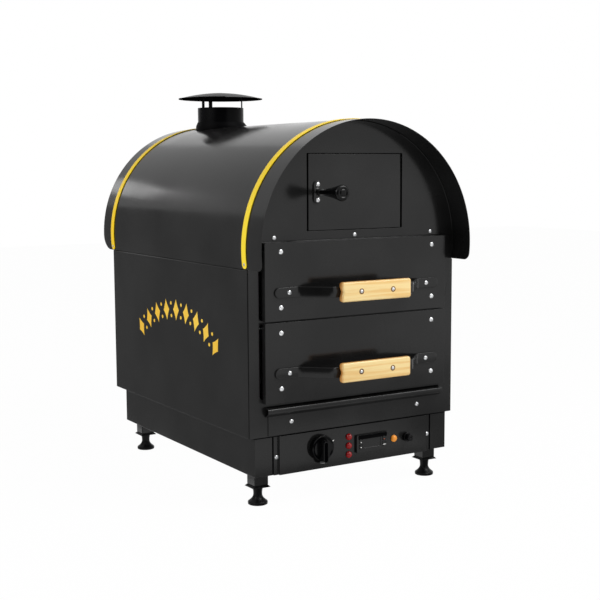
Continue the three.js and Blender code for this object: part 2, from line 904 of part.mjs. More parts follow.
function doorHandle() {
  const round = handleEndRadius * handleRoundShare;
  const profile = [[0, 0], [neckRadius, 0]];
  for (let step = 1; step <= cornerSteps; step += 1) {
    const share = step / cornerSteps;
    const radius = neckRadius + (handleEndRadius - neckRadius) * share ** handleSwell;
    profile.push([radius, (handleLength - 2 * round) * share]);
  }
  for (let step = 0; step <= cornerSteps; step += 1) {
    const angle = (Math.PI / 2) * (step / cornerSteps);
    const radius = handleEndRadius - round + round * Math.cos(angle);
    profile.push([radius, handleLength - round + round * Math.sin(angle)]);
  }
  profile.push([0, handleLength]);
  return revolve(profile, backwards).translate([doorHandleX, -handleStart, doorHandleZ]);
}

// Chimney

const ridge = barrelAxis + roofRadius;
const flueMouth = ridge + flueTop;

// The flue's tube with its collar, a cone of sheet cut to the saddle of the barrel.
function flueTube() {
  const low = barrelAxis + linerHalf - flueTail;
  const profile = [
    [flueRadius - sheet, low],
    [flueRadius, low],
    [flueRadius, flueMouth],
    [flueRadius - sheet, flueMouth],
  ];
  return revolve(profile, Z).translate([0, flueY, 0]).add(flueCollar());
}

function flueCollar() {
  const inner = flueRadius - sheet / 2;
  const outer = flueRadius + collarSpread;
  const top = ridge + collarRise;
  const shoulder = top - collarCone;
  const low = ridge - collarSpread - overrun;
  const profile = [
    [inner, top],
    [inner + collarSheet, top],
    [outer, shoulder],
    [outer, low],
    [outer - collarSheet, low],
    [outer - collarSheet, shoulder - collarSheet / 2],
    [inner, top - 2 * collarSheet],
  ];
  const cone = revolve(profile, Z).translate([0, flueY, 0]);
  const barrel = rod(roofRadius + seat, [0, bodyDepth], Y, [0, 0, barrelAxis], 2 * roofSteps);
  return cone.subtract(barrel);
}

const capRim = flueMouth + capGap;
const capBrim = capRadius - capLip;

// The height of the cap's underside at a share of its brim's radius.
function capUnderside(share) {
  return capRim + capDome * (1 - share ** 2);
}

function rainCap() {
  const shares = Array.from({ length: domeSteps + 1 }, (_, i) => i / domeSteps);
  const under = shares.map((share) => [capBrim * share, capUnderside(share)]);
  under.push([capRadius, capRim]);
  const over = under.map(([r, z]) => [r, z + capSheet]).reverse();
  const dome = revolve([...under, ...over], Z, 2 * turnSteps);
  return joined([dome, ...strutTurns.map(capStrut)]).translate([0, flueY, 0]);
}

// A flat strip that stands inside the tube and carries the cap.
function capStrut(turn) {
  const outer = flueRadius - sheet - seat;
  const bevel = outer - Math.hypot(outer, strutWidth / 2);
  const face = outer * Math.cos(Math.PI / roundSteps) + bevel;
  const top = capUnderside(face / capBrim) + capSheet / 2;
  const half = strutWidth / 2;
  const bar = block([face - strutThickness, -half, flueMouth - strutGrip], [face, half, top]);
  return bar.rotate([0, 0, turn]);
}

// Plinth, legs and feet

const plinthHalf = halfBody - plinthInset;
const plinthBack = bodyDepth - plinthRear;
const plinthTop = bodyBottom - seat;
const panelOpening = plinthHalf - panelPlate;

function slotRow(count, pitch, width) {
  return Array.from({ length: count }, (_, i) => {
    const centre = (i - (count - 1) / 2) * pitch;
    return [centre - width / 2, centre + width / 2];
  });
}

function plinthSkirt() {
  const half = sheet / 2;
  const front = plinthFront + half;
  const right = [
    [panelOpening - panelLip, front + panelLipDepth],
    [panelOpening, front + panelLipDepth],
    [panelOpening, front],
    [plinthHalf - half, front],
    [plinthHalf - half, plinthBack - half],
  ];
  const left = right.map(([x, y]) => [-x, y]).reverse();
  const ring = prismZ(sheetOutline([...right, ...left], sheet), [plinthBottom, plinthTop]);
  const low = (plinthBottom + plinthTop - rearSlotHeight) / 2;
  const slots = slotRow(rearSlotCount, rearSlotPitch, rearSlotWidth).map(([x0, x1]) =>
    block([x0, plinthBack - sheet - overrun, low], [x1, plinthBack + overrun, low + rearSlotHeight]));
  const reach = [plinthBack - sheet - overrun, plinthBack + overrun];
  const gland = rod(glandRadius + seat, reach, Y, [glandX, 0, glandZ], smallSteps);
  return ring.subtract(joined([...slots, gland]));
}

const glandX = -plinthHalf + glandInset;
const glandZ = (plinthBottom + plinthTop) / 2;

// The mains inlet: a plastic gland with a nut, open for a lead.
function cableGland() {
  const face = plinthBack + seat;
  const inside = plinthBack - sheet - seat;
  const profile = [
    [glandBore, inside - glandTail],
    [glandRadius, inside - glandTail],
    [glandRadius, face],
    [glandFlange, face],
    [glandFlange, face + glandNut],
    [glandRadius, face + glandNut],
    [glandRadius - glandBore / 2, face + glandNose],
    [glandBore, face + glandNose],
  ];
  return revolve(profile, Y, smallSteps).translate([glandX, 0, glandZ]);
}

const legPlaces = [
  ["front_left", -1, plinthFront + legInsetFront],
  ["front_right", 1, plinthFront + legInsetFront],
  ["rear_left", -1, plinthBack - legInsetRear],
  ["rear_right", 1, plinthBack - legInsetRear],
];
const legX = plinthHalf - legInsetSide;

function plinthFloor() {
  const half = plinthHalf - sheet - seat;
  const front = plinthFront + panelLipDepth + sheet + seat;
  const low = plinthBottom + floorLift;
  const plate = block([-half, front, low], [half, plinthBack - sheet - seat, low + sheet]);
  const hole = legSize / 2 + floorHoleGap;
  const legs = legPlaces.map(([, side, y]) => {
    const x = side * legX;
    return block([x - hole, y - hole, low - overrun], [x + hole, y + hole, low + sheet + overrun]);
  });
  const middle = (plinthFront + plinthBack - floorSlotLength) / 2;
  const slots = slotRow(floorSlotCount, floorSlotPitch, floorSlotWidth).map(([x0, x1]) =>
    block([x0, middle, low - overrun], [x1, middle + floorSlotLength, low + sheet + overrun]));
  return plate.subtract(joined([...legs, ...slots]));
}

function legTube() {
  const half = legSize / 2;
  const inner = half - legWall;
  const outer = block([-half, -half, legBottom], [half, half, bodyBottom - seat]);
  const bore = block([-inner, -inner, legBottom - overrun], [inner, inner, bodyBottom + overrun]);
  return outer.subtract(bore);
}

// A flared square plug that closes the leg's tube and carries the foot's stem.
function legCollar() {
  const top = (legSize / 2) * Math.SQRT2;
  const bottom = top + collarFlare * Math.SQRT2;
  const flange = new THREE.CylinderGeometry(top, bottom, collarFlange - seat, 4);
  flange.rotateY(Math.PI / 4);
  flange.rotateX(Math.PI / 2);
  flange.translate(0, 0, footHeight + (collarFlange - seat) / 2);
  const inner = legSize / 2 - legWall - seat;
  const plug = block([-inner, -inner, footHeight], [inner, inner, legBottom + collarPlug]);
  const bore = rod(stemRadius + stemClearance, [0, legBottom + collarPlug + overrun], Z,
    [0, 0, 0], smallSteps);
  return solid(flange).add(plug).subtract(bore);
}

function levellingFoot() {
  const top = footHeight - seat;
  const chamfer = footEdge / 4;
  const waist = (top + footEdge) / 2;
  const profile = [
    [0, 0],
    [footRadius - chamfer, 0],
    [footRadius, chamfer],
    [footRadius, footEdge],
    [footWaist + footEdge, footShoulder],
    [footWaist, waist],
    [footNeck, top - chamfer],
    [footNeck, top],
    [stemRadius, top],
    [stemRadius, top + stemLength],
    [0, top + stemLength],
  ];
  return revolve(profile, Z, turnSteps);
}

// Control panel and its parts

const panelBottom = plinthBottom - panelDrop;
const panelTop = bodyBottom - panelTopGap;
const panelFace = plinthFront - panelProud;
const panelBack = panelFace + sheet;
const knobZ = panelBottom + knobRise;
const lampZs = [0, 1, 2].map((i) => panelBottom + lampRise + i * lampPitch);
const rowZ = panelBottom + controlRow;

function controlPanel() {
  const panelHalf = panelOpening - panelInset;
  const flange = plinthFront + panelLipDepth - seat - sheet / 2;
  const face = panelFace + sheet / 2;
  const right = [
    [panelHalf, face],
    [panelHalf, flange],
    [panelHalf + panelFlange, flange],
  ];
  const left = right.map(([x, y]) => [-x, y]).reverse();
  const hat = prismZ(sheetOutline([...left, ...right], sheet), [panelBottom, panelTop]);
  const reach = [panelFace - overrun, panelBack + overrun];
  const round = (radius, x, z) => rod(radius + seat, reach, Y, [x, 0, z], smallSteps);
  const width = controllerWidth / 2 - controllerBody + seat;
  const height = controllerHeight / 2 - controllerBody + seat;
  return hat.subtract(
    joined([
      round(spindleRadius, knobX, knobZ),
      ...lampZs.map((z) => round(lampBody, lampX, z)),
      round(lampBody, amberX, rowZ),
      round(fuseBody, fuseX, rowZ),
      block(
        [controllerX - width, reach[0], rowZ - height],
        [controllerX + width, reach[1], rowZ + height],
      ),
    ]),
  );
}

function thermostat() {
  const front = panelBack + seat;
  const body = block(
    [-thermostatWidth / 2, front, -thermostatHeight / 2],
    [thermostatWidth / 2, front + thermostatDepth, thermostatHeight / 2],
  );
  const reach = [front - overrun, front + spindleTail + spindleClearance];
  const socket = rod(spindleRadius + spindleClearance, reach, Y, [0, 0, 0], smallSteps);
  return body.subtract(socket).translate([knobX, 0, knobZ]);
}

// A round skirt on its spindle, with a grip bar that is longer on its pointing side.
function controlKnob() {
  const base = panelFace - knobStandoff;
  const skirt = revolve(
    [[0, 0], [knobRadius, 0], [knobRadius, knobRim], [knobSkirtTop, knobSkirt], [0, knobSkirt]],
    backwards,
  ).translate([0, base, 0]);
  const half = knobBarWidth / 2;
  const outline = roundedOutline(-half, -knobBarDown, half, knobBarUp, half - seat);
  const bar = prismY(outline, [base - knobBarDepth, base - knobRim], cornerSteps);
  const spindle = rod(spindleRadius, [base - knobStandoff, panelBack + seat + spindleTail], Y,
    [0, 0, 0], smallSteps);
  return joined([skirt, bar, spindle]).translate([knobX, 0, knobZ]);
}

function pilotLamp(radius, dome, x, z) {
  const front = panelFace - seat;
  const profile = [
    [0, front - dome],
    [radius * lampCrownShare, front - dome * lampRimShare],
    [radius * lampRimShare, front - dome * lampCrownShare],
    [radius, front],
    [lampBody, front],
    [lampBody, front + lampDepth],
    [0, front + lampDepth],
  ];
  return revolve(profile, Y, turnSteps).translate([x, 0, z]);
}

function controller() {
  const front = panelFace - seat;
  const width = controllerWidth / 2;
  const height = controllerHeight / 2;
  const bezel = prismY(roundedOutline(-width, -height, width, height, controllerRound),
    [front - controllerBezel, front], cornerSteps);
  const body = block(
    [-width + controllerBody, front - seat, -height + controllerBody],
    [width - controllerBody, front + controllerDepth, height - controllerBody],
  );
  const display = block(
    [-windowWidth / 2, front - controllerBezel - overrun, -windowHeight / 2],
    [windowWidth / 2, front - controllerBezel + windowDepth, windowHeight / 2],
  );
  const face = front - controllerBezel;
  const rear = face + keyLength - keyProud + keyTravel + keyClearance;
  const pockets = keyPlaces.map(([, x, z]) => {
    const half = [keyWidth / 2 + keyClearance, keyHeight / 2 + keyClearance];
    return block([x - half[0], face - overrun, z - half[1]], [x + half[0], rear, z + half[1]]);
  });
  return bezel.add(body).subtract(joined([display, ...pockets])).translate([controllerX, 0, rowZ]);
}

const keyX = controllerWidth / 2 - keyInset;
const keyPlaces = [
  ["up", -keyX, keyPitch / 2],
  ["down", -keyX, -keyPitch / 2],
  ["menu", keyX, keyPitch / 2],
  ["set", keyX, -keyPitch / 2],
];

function controllerKey(x, z) {
  const face = panelFace - seat - controllerBezel - keyProud;
  const key = roundedOutline(-keyWidth / 2, -keyHeight / 2, keyWidth / 2, keyHeight / 2,
    controllerRound);
  return prismY(key, [face, face + keyLength], cornerSteps / 2)
    .translate([controllerX + x, 0, rowZ + z]);
}

function fuseHolder() {
  const front = panelFace - seat;
  const mouth = front - fuseFlangeDepth;
  const bore = fuseStub + fuseClearance;
  const floor = mouth + fuseStubLength + fuseClearance;
  const profile = [
    [bore, mouth],
    [fuseFlange - seat, mouth],
    [fuseFlange, mouth + seat],
    [fuseFlange, front],
    [fuseBody, front],
    [fuseBody, front + fuseDepth],
    [0, front + fuseDepth],
    [0, floor],
    [bore, floor],
  ];
  return revolve(profile, Y, turnSteps).translate([fuseX, 0, rowZ]);
}

// The bayonet cap, which is turned with a coin in its slot.
function fuseCap() {
  const mouth = panelFace - seat - fuseFlangeDepth;
  const back = mouth - seat;
  const profile = [
    [0, back - fuseCapLength],
    [fuseCapRadius - seat, back - fuseCapLength],
    [fuseCapRadius, back - fuseCapLength + seat],
    [fuseCapRadius, back],
    [fuseStub, back],
    [fuseStub, mouth + fuseStubLength],
    [0, mouth + fuseStubLength],
  ];
  const body = revolve(profile, Y, turnSteps);
  const half = fuseSlotWidth / 2;
  const slot = block(
    [-fuseCapRadius - overrun, back - fuseCapLength - overrun, -half],
    [fuseCapRadius + overrun, back - fuseCapLength + fuseSlotDepth, half],
  );
  return body.subtract(slot).translate([fuseX, 0, rowZ]);
}

// Assembly

function shellGroup() {
  const group = new THREE.Group();
  piece(group, "side_panel_left", sidePanel(-1), blackCoat);
  piece(group, "side_panel_right", sidePanel(1), blackCoat);
  piece(group, "rear_panel", rearPanel(), blackCoat);
  piece(group, "front_frame", frontFrame(), blackCoat);
  piece(group, "arch_panel", archPanel(), blackCoat);
  piece(group, "ledge_fascia", ledgeFascia(), blackCoat);
  piece(group, "base_plate", basePlate(), blackCoat);
  piece(group, "roof_sheet", roofSheet(), blackCoat);
  piece(group, "roof_trim_front", roofTrim(trimInset), yellowTrim);
  piece(group, "roof_trim_rear", roofTrim(bodyDepth + trimOutset - trimWidth), yellowTrim);
  return group;
}

function innerGroup() {
  const group = new THREE.Group();
  piece(group, "oven_liner", ovenLiner(), steelSheet);
  piece(group, "chamber_liner", chamberLiner(), steelSheet);
  piece(group, "insulation_jacket", insulationJacket(), woolBlanket);
  for (const [name, z] of Object.entries(elementHeights)) {
    piece(group, `heating_element_${name}`, heatingElement(z), steelSheet);
  }
  piece(group, "runner_left", runner(-1), steelSheet);
  piece(group, "runner_right", runner(1), steelSheet);
  return group;
}

function drawerGroup(row) {
  const group = new THREE.Group();
  const middle = handleMiddle(row.front);
  piece(group, `drawer_${row.name}_front`, drawerFront(row.front), blackCoat);
  piece(group, `drawer_${row.name}_box`, drawerBox(row), steelSheet);
  piece(group, `drawer_${row.name}_strap`, drawerStrap(middle), blackCoat);
  piece(group, `drawer_${row.name}_grip`, drawerGrip(middle), beech);
  return group;
}

function doorGroup() {
  const group = new THREE.Group();
  piece(group, "door_panel", doorPanel(), blackCoat);
  piece(group, "door_handle_bracket", handleBracket(), blackCoat);
  piece(group, "door_handle", doorHandle(), blackPlastic);
  return group;
}

function chimneyGroup() {
  const group = new THREE.Group();
  piece(group, "flue_tube", flueTube(), blackCoat);
  piece(group, "rain_cap", rainCap(), blackCoat);
  return group;
}

function plinthGroup() {
  const group = new THREE.Group();
  piece(group, "plinth_skirt", plinthSkirt(), blackCoat);
  piece(group, "plinth_floor", plinthFloor(), steelSheet);
  piece(group, "cable_gland", cableGland(), blackPlastic);
  for (const [name, side, y] of legPlaces) {
    const leg = new THREE.Group();
    leg.position.set(side * legX, y, 0);
    piece(leg, `leg_${name}`, legTube(), blackCoat);
    piece(leg, `leg_collar_${name}`, legCollar(), blackPlastic);
    piece(leg, `foot_${name}`, levellingFoot(), blackPlastic);
    group.add(leg);
  }
  return group;
}

function controlGroup() {
  const group = new THREE.Group();
  piece(group, "control_panel", controlPanel(), blackCoat);
  piece(group, "thermostat", thermostat(), steelSheet);
  piece(group, "control_knob", controlKnob(), blackPlastic);
  lampZs.forEach((z, i) =>
    piece(group, `pilot_lamp_red_${i + 1}`, pilotLamp(lampRadius, lampDome, lampX, z), redLens));
  piece(group, "pilot_lamp_amber", pilotLamp(amberRadius, amberDome, amberX, rowZ), amberLens);
  piece(group, "temperature_controller", controller(), blackPlastic);
  for (const [name, x, z] of keyPlaces) {
    piece(group, `controller_key_${name}`, controllerKey(x, z), blackPlastic);
  }
  piece(group, "fuse_holder", fuseHolder(), blackPlastic);
  piece(group, "fuse_cap", fuseCap(), blackPlastic);
  return group;
}

const oven = new THREE.Group();
const frontReach = Math.max(handleTip, hoodFront);
oven.position.y = (frontReach - bodyDepth - hoodRear) / 2;
oven.add(
  shellGroup(),
  innerGroup(),
  ...drawerRows.map(drawerGroup),
  doorGroup(),
  chimneyGroup(),
  plinthGroup(),
  controlGroup(),
);

const part = new THREE.Group();
part.add(oven);
export default part;
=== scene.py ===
"""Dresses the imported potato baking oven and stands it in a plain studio.

Sizes are the oven's own millimetres: x to the right, y to the rear from the front frame's face and z up
from the floor. A mesh is moved to the row frame's metres when it is made.
"""
import sys
import json
import logging
import math
from dataclasses import dataclass, replace
from enum import Enum
from typing import Sequence

import bmesh
import bpy
import numpy as np
from mathutils import Matrix, Vector
from numpy.typing import NDArray

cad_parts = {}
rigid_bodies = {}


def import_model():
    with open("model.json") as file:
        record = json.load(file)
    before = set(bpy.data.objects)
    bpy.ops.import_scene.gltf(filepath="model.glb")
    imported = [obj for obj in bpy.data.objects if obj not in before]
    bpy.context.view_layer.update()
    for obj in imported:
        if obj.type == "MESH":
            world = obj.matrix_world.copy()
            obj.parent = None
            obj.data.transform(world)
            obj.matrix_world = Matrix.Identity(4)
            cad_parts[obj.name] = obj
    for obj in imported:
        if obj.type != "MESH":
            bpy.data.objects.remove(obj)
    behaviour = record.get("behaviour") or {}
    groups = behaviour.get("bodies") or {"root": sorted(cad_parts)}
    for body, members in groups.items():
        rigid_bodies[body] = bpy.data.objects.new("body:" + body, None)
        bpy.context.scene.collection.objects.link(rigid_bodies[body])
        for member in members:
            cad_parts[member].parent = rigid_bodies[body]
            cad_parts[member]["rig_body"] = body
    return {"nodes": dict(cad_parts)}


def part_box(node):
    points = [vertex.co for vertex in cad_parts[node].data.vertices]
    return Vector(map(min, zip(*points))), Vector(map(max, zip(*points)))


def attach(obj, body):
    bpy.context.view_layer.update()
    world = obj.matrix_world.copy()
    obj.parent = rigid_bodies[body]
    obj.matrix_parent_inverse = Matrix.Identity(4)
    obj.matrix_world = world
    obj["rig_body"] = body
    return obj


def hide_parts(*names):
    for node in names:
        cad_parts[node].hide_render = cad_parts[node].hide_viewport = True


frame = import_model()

Array = NDArray[np.float64]
Pair = tuple[float, float]
Point = tuple[float, float, float]
Colour = tuple[float, float, float, float]
Object = bpy.types.Object
Node = bpy.types.Node
NodeTree = bpy.types.NodeTree
Socket = bpy.types.NodeSocket

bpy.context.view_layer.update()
METRE = 0.001
FRONT_FACE = np.array([0.0, -292.075, 0.0])
SEAT = 0.3  # the gap between two sheets that lie on each other
BARREL_AXIS = 485.0  # the height of the roof's axis
DISPLAY_WHITE = 255
KNEE, TOE_SLOPE, LIFT, GAMMA = 0.04045, 12.92, 0.055, 2.4  # the display's curve
WHITE: Colour = (1.0, 1.0, 1.0, 1.0)
BLACK: Colour = (0.0, 0.0, 0.0, 1.0)
log = logging.getLogger("oven")


def linear(red: int, green: int, blue: int) -> Colour:
    """Turns a display colour of 0 to 255 into the linear colour that shaders use.

    A share v becomes v / 12.92 up to the knee, and ((v + 0.055) / 1.055)^2.4 above it.

    Args:
        red: The display red.
        green: The display green.
        blue: The display blue.

    Returns:
        The linear colour with full alpha.
    """
    shares = np.array([red, green, blue]) / DISPLAY_WHITE
    values = np.where(shares <= KNEE, shares / TOE_SLOPE, ((shares + LIFT) / (1 + LIFT)) ** GAMMA)
    return (*values.tolist(), 1.0)


def metres(points: Array | Sequence[Point] | Point) -> Array:
    """Carries the oven's millimetres to the row frame's metres."""
    return (np.array(points) + FRONT_FACE) * METRE


def millimetres(points: Sequence[Sequence[float]]) -> Array:
    """Carries the row frame's metres to the oven's millimetres."""
    return np.array(points) / METRE - FRONT_FACE


def stood(name: str, data: bpy.types.ID) -> Object:
    """Stands a mesh, a lamp or a camera in the scene.

    Args:
        name: The object's name.
        data: The mesh, the lamp or the camera.

    Returns:
        The object.
    """
    obj = bpy.data.objects.new(name, data)
    bpy.context.scene.collection.objects.link(obj)
    return obj


class Facing(Enum):
    """Where a piece's own x, y and z point on the oven."""

    FRONT = ((1, 0, 0), (0, 0, 1), (0, -1, 0))
    REAR = ((-1, 0, 0), (0, 0, 1), (0, 1, 0))
    LEFT = ((0, -1, 0), (0, 0, 1), (-1, 0, 0))
    RIGHT = ((0, 1, 0), (0, 0, 1), (1, 0, 0))
    UP = ((1, 0, 0), (0, 1, 0), (0, 0, 1))


class Head(Enum):
    """The fastener heads that show on the oven."""

    RIVET = "rivet"
    CROSS = "cross-recessed screw"
    SLOTTED = "slotted wood screw"


# Shapes

SHORTEST_EDGE = 1e-9  # keeps the length of a doubled point's edge above zero
FLATTEST_MITRE = 0.5  # the least cosine that a mitre is divided by
TIP_SHARE = 1e-3  # the square of the width that a strip's tip keeps


@dataclass(frozen=True)
class Surface:
    """Points in millimetres and the faces that join them.

    Attributes:
        points: One row for each point.
        faces: The points' indices, face by face.
    """

    points: Array
    faces: list[list[int]]

    def placed(self, origin: Point, facing: Facing = Facing.FRONT) -> "Surface":
        """Carries the surface to an origin: p = origin + x across + y up + z out.

        Args:
            origin: Where the surface's own origin goes.
            facing: Where its own axes point.

        Returns:
            The surface in its place.
        """
        axes = np.array(facing.value, float)
        return Surface(np.array(origin) + self.points @ axes, self.faces)

    def repeated(self, places: Array, facing: Facing = Facing.FRONT) -> "Surface":
        """Sets the same surface at several places.

        Args:
            places: One row for each origin.
            facing: Where the surface's own axes point.

        Returns:
            One surface of all the copies.
        """
        return together([self.placed(tuple(place), facing) for place in places])


def together(parts: Sequence[Surface]) -> Surface:
    """Gathers surfaces into one.

    Args:
        parts: The surfaces, which stay apart from each other.

    Returns:
        One surface with all their points and faces.
    """
    starts = np.cumsum([0] + [len(part.points) for part in parts])
    faces = [[i + int(start) for i in face] for part, start in zip(parts, starts) for face in part.faces]
    return Surface(np.concatenate([part.points for part in parts]), faces)


def wound(rings: Array, closed: bool = False) -> Surface:
    """Joins rings of equal count with quads.

    Point (i, j) is joined to (i + 1, j) and (i, j + 1). j closes on itself. i closes on itself too where
    the profile does, and otherwise the first and the last ring are filled.

    Args:
        rings: Rings, points and coordinates.
        closed: Whether the last ring is joined to the first.

    Returns:
        The closed surface.
    """
    count, around = rings.shape[:2]
    i = np.arange(count if closed else count - 1)[:, None] * around
    j = np.arange(around)[None, :]
    onward, beside = (i + around) % (count * around), (j + 1) % around
    quads = np.stack([i + j, i + beside, onward + beside, onward + j], -1).reshape(-1, 4).tolist()
    if not closed:
        quads.append(list(range(around))[::-1])
        quads.append(list(range((count - 1) * around, count * around)))
    return Surface(rings.reshape(-1, 3), quads)


def revolved(profile: Sequence[Pair], steps: int = 48, closed: bool = False) -> Surface:
    """Turns a profile about z: x = r cos a, y = r sin a, z = h.

    Args:
        profile: Radius and height of each point.
        steps: Points round each ring.
        closed: Whether the profile is a loop, as in a tube's wall.

    Returns:
        The closed surface.
    """
    radius, height = np.array(profile, float).T
    turn = np.linspace(0, 2 * np.pi, steps, endpoint=False)
    x, y = np.outer(radius, np.cos(turn)), np.outer(radius, np.sin(turn))
    return wound(np.stack([x, y, np.repeat(height[:, None], steps, 1)], -1), closed)


def rounded_rectangle(width: float, height: float, radius: float, steps: int = 8) -> Array:
    """Draws four quarter circles about the corners' centres, anticlockwise.

    Args:
        width: The size along x.
        height: The size along y.
        radius: The corners' radius.
        steps: Points of each quarter.

    Returns:
        The outline's points.
    """
    turn = np.arange(4)[:, None] * np.pi / 2 + np.linspace(0, np.pi / 2, steps)
    centres = np.array([[1, 1], [-1, 1], [-1, -1], [1, -1]]) * [width / 2 - radius, height / 2 - radius]
    return (centres[:, None] + radius * np.stack([np.cos(turn), np.sin(turn)], -1)).reshape(-1, 2)


def drawn_in(outline: Array, inset: Array) -> Array:
    """Moves each outline point inwards along the mitre of its two edges.

    Args:
        outline: An anticlockwise outline.
        inset: How far each copy is drawn in.

    Returns:
        One copy of the outline for each inset.
    """
    edges = np.roll(outline, -1, 0) - outline
    length = np.maximum(np.linalg.norm(edges, axis=1), SHORTEST_EDGE)[:, None]
    normals = np.stack([edges[:, 1], -edges[:, 0]], 1) / length
    mitre = normals + np.roll(normals, 1, 0)
    mitre /= np.maximum(np.linalg.norm(mitre, axis=1), SHORTEST_EDGE)[:, None]
    reach = 1 / np.maximum((mitre * normals).sum(1), FLATTEST_MITRE)
    return outline - inset[:, None, None] * (mitre * reach[:, None])


def stacked(outline: Array, levels: Sequence[Pair]) -> Surface:
    """Stacks an outline: at each level it is drawn in by an inset and stands at a height.

    Args:
        outline: An anticlockwise outline.
        levels: Inset and height of each level, from the base to the top.

    Returns:
        The closed surface with flat ends.
    """
    inset, height = np.array(levels, float).T
    flat = drawn_in(outline, inset)
    rise = np.broadcast_to(height[:, None, None], (*flat.shape[:2], 1))
    return wound(np.concatenate([flat, rise], -1))


def square(height: float) -> list[Pair]:
    """Levels of a plate with square edges."""
    return [(0.0, 0.0), (0.0, height)]


def eased(height: float, ease: float, steps: int = 4) -> list[Pair]:
    """Levels of a plate whose top edge is a quarter circle: inset r (1 - cos a), height h - r + r sin a.

    Args:
        height: The plate's top.
        ease: The edge's radius.
        steps: Levels of the quarter circle.

    Returns:
        Inset and height of each level.
    """
    turn = np.linspace(0, np.pi / 2, steps + 1)
    rim = np.stack([ease * (1 - np.cos(turn)), height - ease + ease * np.sin(turn)], 1)
    return [(0.0, 0.0), *map(tuple, rim.tolist())]


def spin(turn: float) -> Array:
    """The matrix that turns rows of points about z: x' = x cos a - y sin a, y' = x sin a + y cos a."""
    return np.array([[math.cos(turn), math.sin(turn), 0], [-math.sin(turn), math.cos(turn), 0], [0, 0, 1]])


def spaced(path: Array, count: int, crowd: float = 0.85) -> Array:
    """Spreads points along a path by s = L (t - c sin(2 pi t) / (2 pi)), which crowds them at both ends.

    Args:
        path: The path's corner points.
        count: How many points it gets.
        crowd: 0 for even steps and nearly 1 for the closest steps at the ends.

    Returns:
        The new points.
    """
    along = np.concatenate([[0.0], np.cumsum(np.linalg.norm(np.diff(path, axis=0), axis=1))])
    t = np.linspace(0, 1, count)
    s = along[-1] * (t - crowd * np.sin(2 * np.pi * t) / (2 * np.pi))
    return np.stack([np.interp(s, along, path[:, axis]) for axis in range(path.shape[1])], 1)


def bent(points: Array, setback: float, steps: int = 8) -> Array:
    """Rounds a path's corners, each with the curve (1-t)^2 A + 2t(1-t) B + t^2 C about its corner B.

    Args:
        points: The path's corners.
        setback: How far before and after a corner its curve starts and ends.
        steps: Points of each curve.

    Returns:
        The smooth path.
    """
    before = points[:-2] - points[1:-1]
    after = points[2:] - points[1:-1]
    start = points[1:-1] + before / np.linalg.norm(before, axis=1)[:, None] * setback
    end = points[1:-1] + after / np.linalg.norm(after, axis=1)[:, None] * setback
    t = np.linspace(0, 1, steps)[None, :, None]
    curves = (1 - t) ** 2 * start[:, None] + 2 * t * (1 - t) * points[1:-1, None] + t**2 * end[:, None]
    return np.concatenate([points[:1], curves.reshape(-1, points.shape[1]), points[-1:]])


def strip(
    path: Array, across: Array, out: Array, width: float, thickness: float, ease: float, steps: int = 5
) -> Surface:
    """Carries a flat section with eased corners along a path, with half-round ends.

    At a distance d from the nearer end the width is multiplied by sqrt(1 - (1 - d / r)^2), where r is half
    the width.

    Args:
        path: The strip's middle line.
        across: The width's direction at each point.
        out: The thickness's direction at each point.
        width: The strip's full width.
        thickness: Its full thickness.
        ease: The radius of its long edges.
        steps: Points of each eased edge.

    Returns:
        The closed surface.
    """
    along = np.concatenate([[0.0], np.cumsum(np.linalg.norm(np.diff(path, axis=0), axis=1))])
    share = np.clip(np.minimum(along, along[-1] - along) / (width / 2), 0, 1)
    narrow = np.sqrt(np.maximum(1 - (1 - share) ** 2, TIP_SHARE))[:, None, None]
    section = rounded_rectangle(width, thickness, ease, steps)
    wide, thick = section[None, :, :1], section[None, :, 1:]
    return wound(path[:, None] + across[:, None] * wide * narrow + out[:, None] * thick)


def folded(corners: Array, setback: float, wall: float, half: float, steps: int = 6) -> Surface:
    """Carries a folded sheet's section along x: p = path +- (wall / 2) normal, from -half to half.

    Args:
        corners: y and z of the section's middle line.
        setback: How far before and after a corner its bend starts and ends.
        wall: The sheet's thickness.
        half: Half the sheet's length.
        steps: Points of each bend.

    Returns:
        The closed sheet.
    """
    path = bent(corners, setback, steps)
    tangent = np.gradient(path, axis=0)
    normal = np.stack([-tangent[:, 1], tangent[:, 0]], 1) / np.linalg.norm(tangent, axis=1)[:, None]
    outline = np.concatenate([path + normal * wall / 2, (path - normal * wall / 2)[::-1]])
    ends = np.array([-half, half])[:, None, None]
    return wound(np.concatenate([np.broadcast_to(ends, (2, len(outline), 1)), np.stack([outline] * 2)], -1))


def rod(path: Array, radius: float, sides: int = 16) -> Surface:
    """Carries a circle along a level path: p = c + r (cos a side + sin a z).

    Args:
        path: The rod's middle line.
        radius: The rod's radius.
        sides: Points round the circle.

    Returns:
        The closed surface.
    """
    upright = np.array([0.0, 0.0, 1.0])
    side = np.cross(np.gradient(path, axis=0), upright)
    side /= np.linalg.norm(side, axis=1)[:, None]
    turn = np.linspace(0, 2 * np.pi, sides, endpoint=False)[None, :, None]
    return wound(path[:, None] + radius * (np.cos(turn) * side[:, None] + np.sin(turn) * upright))


# Shader nodes


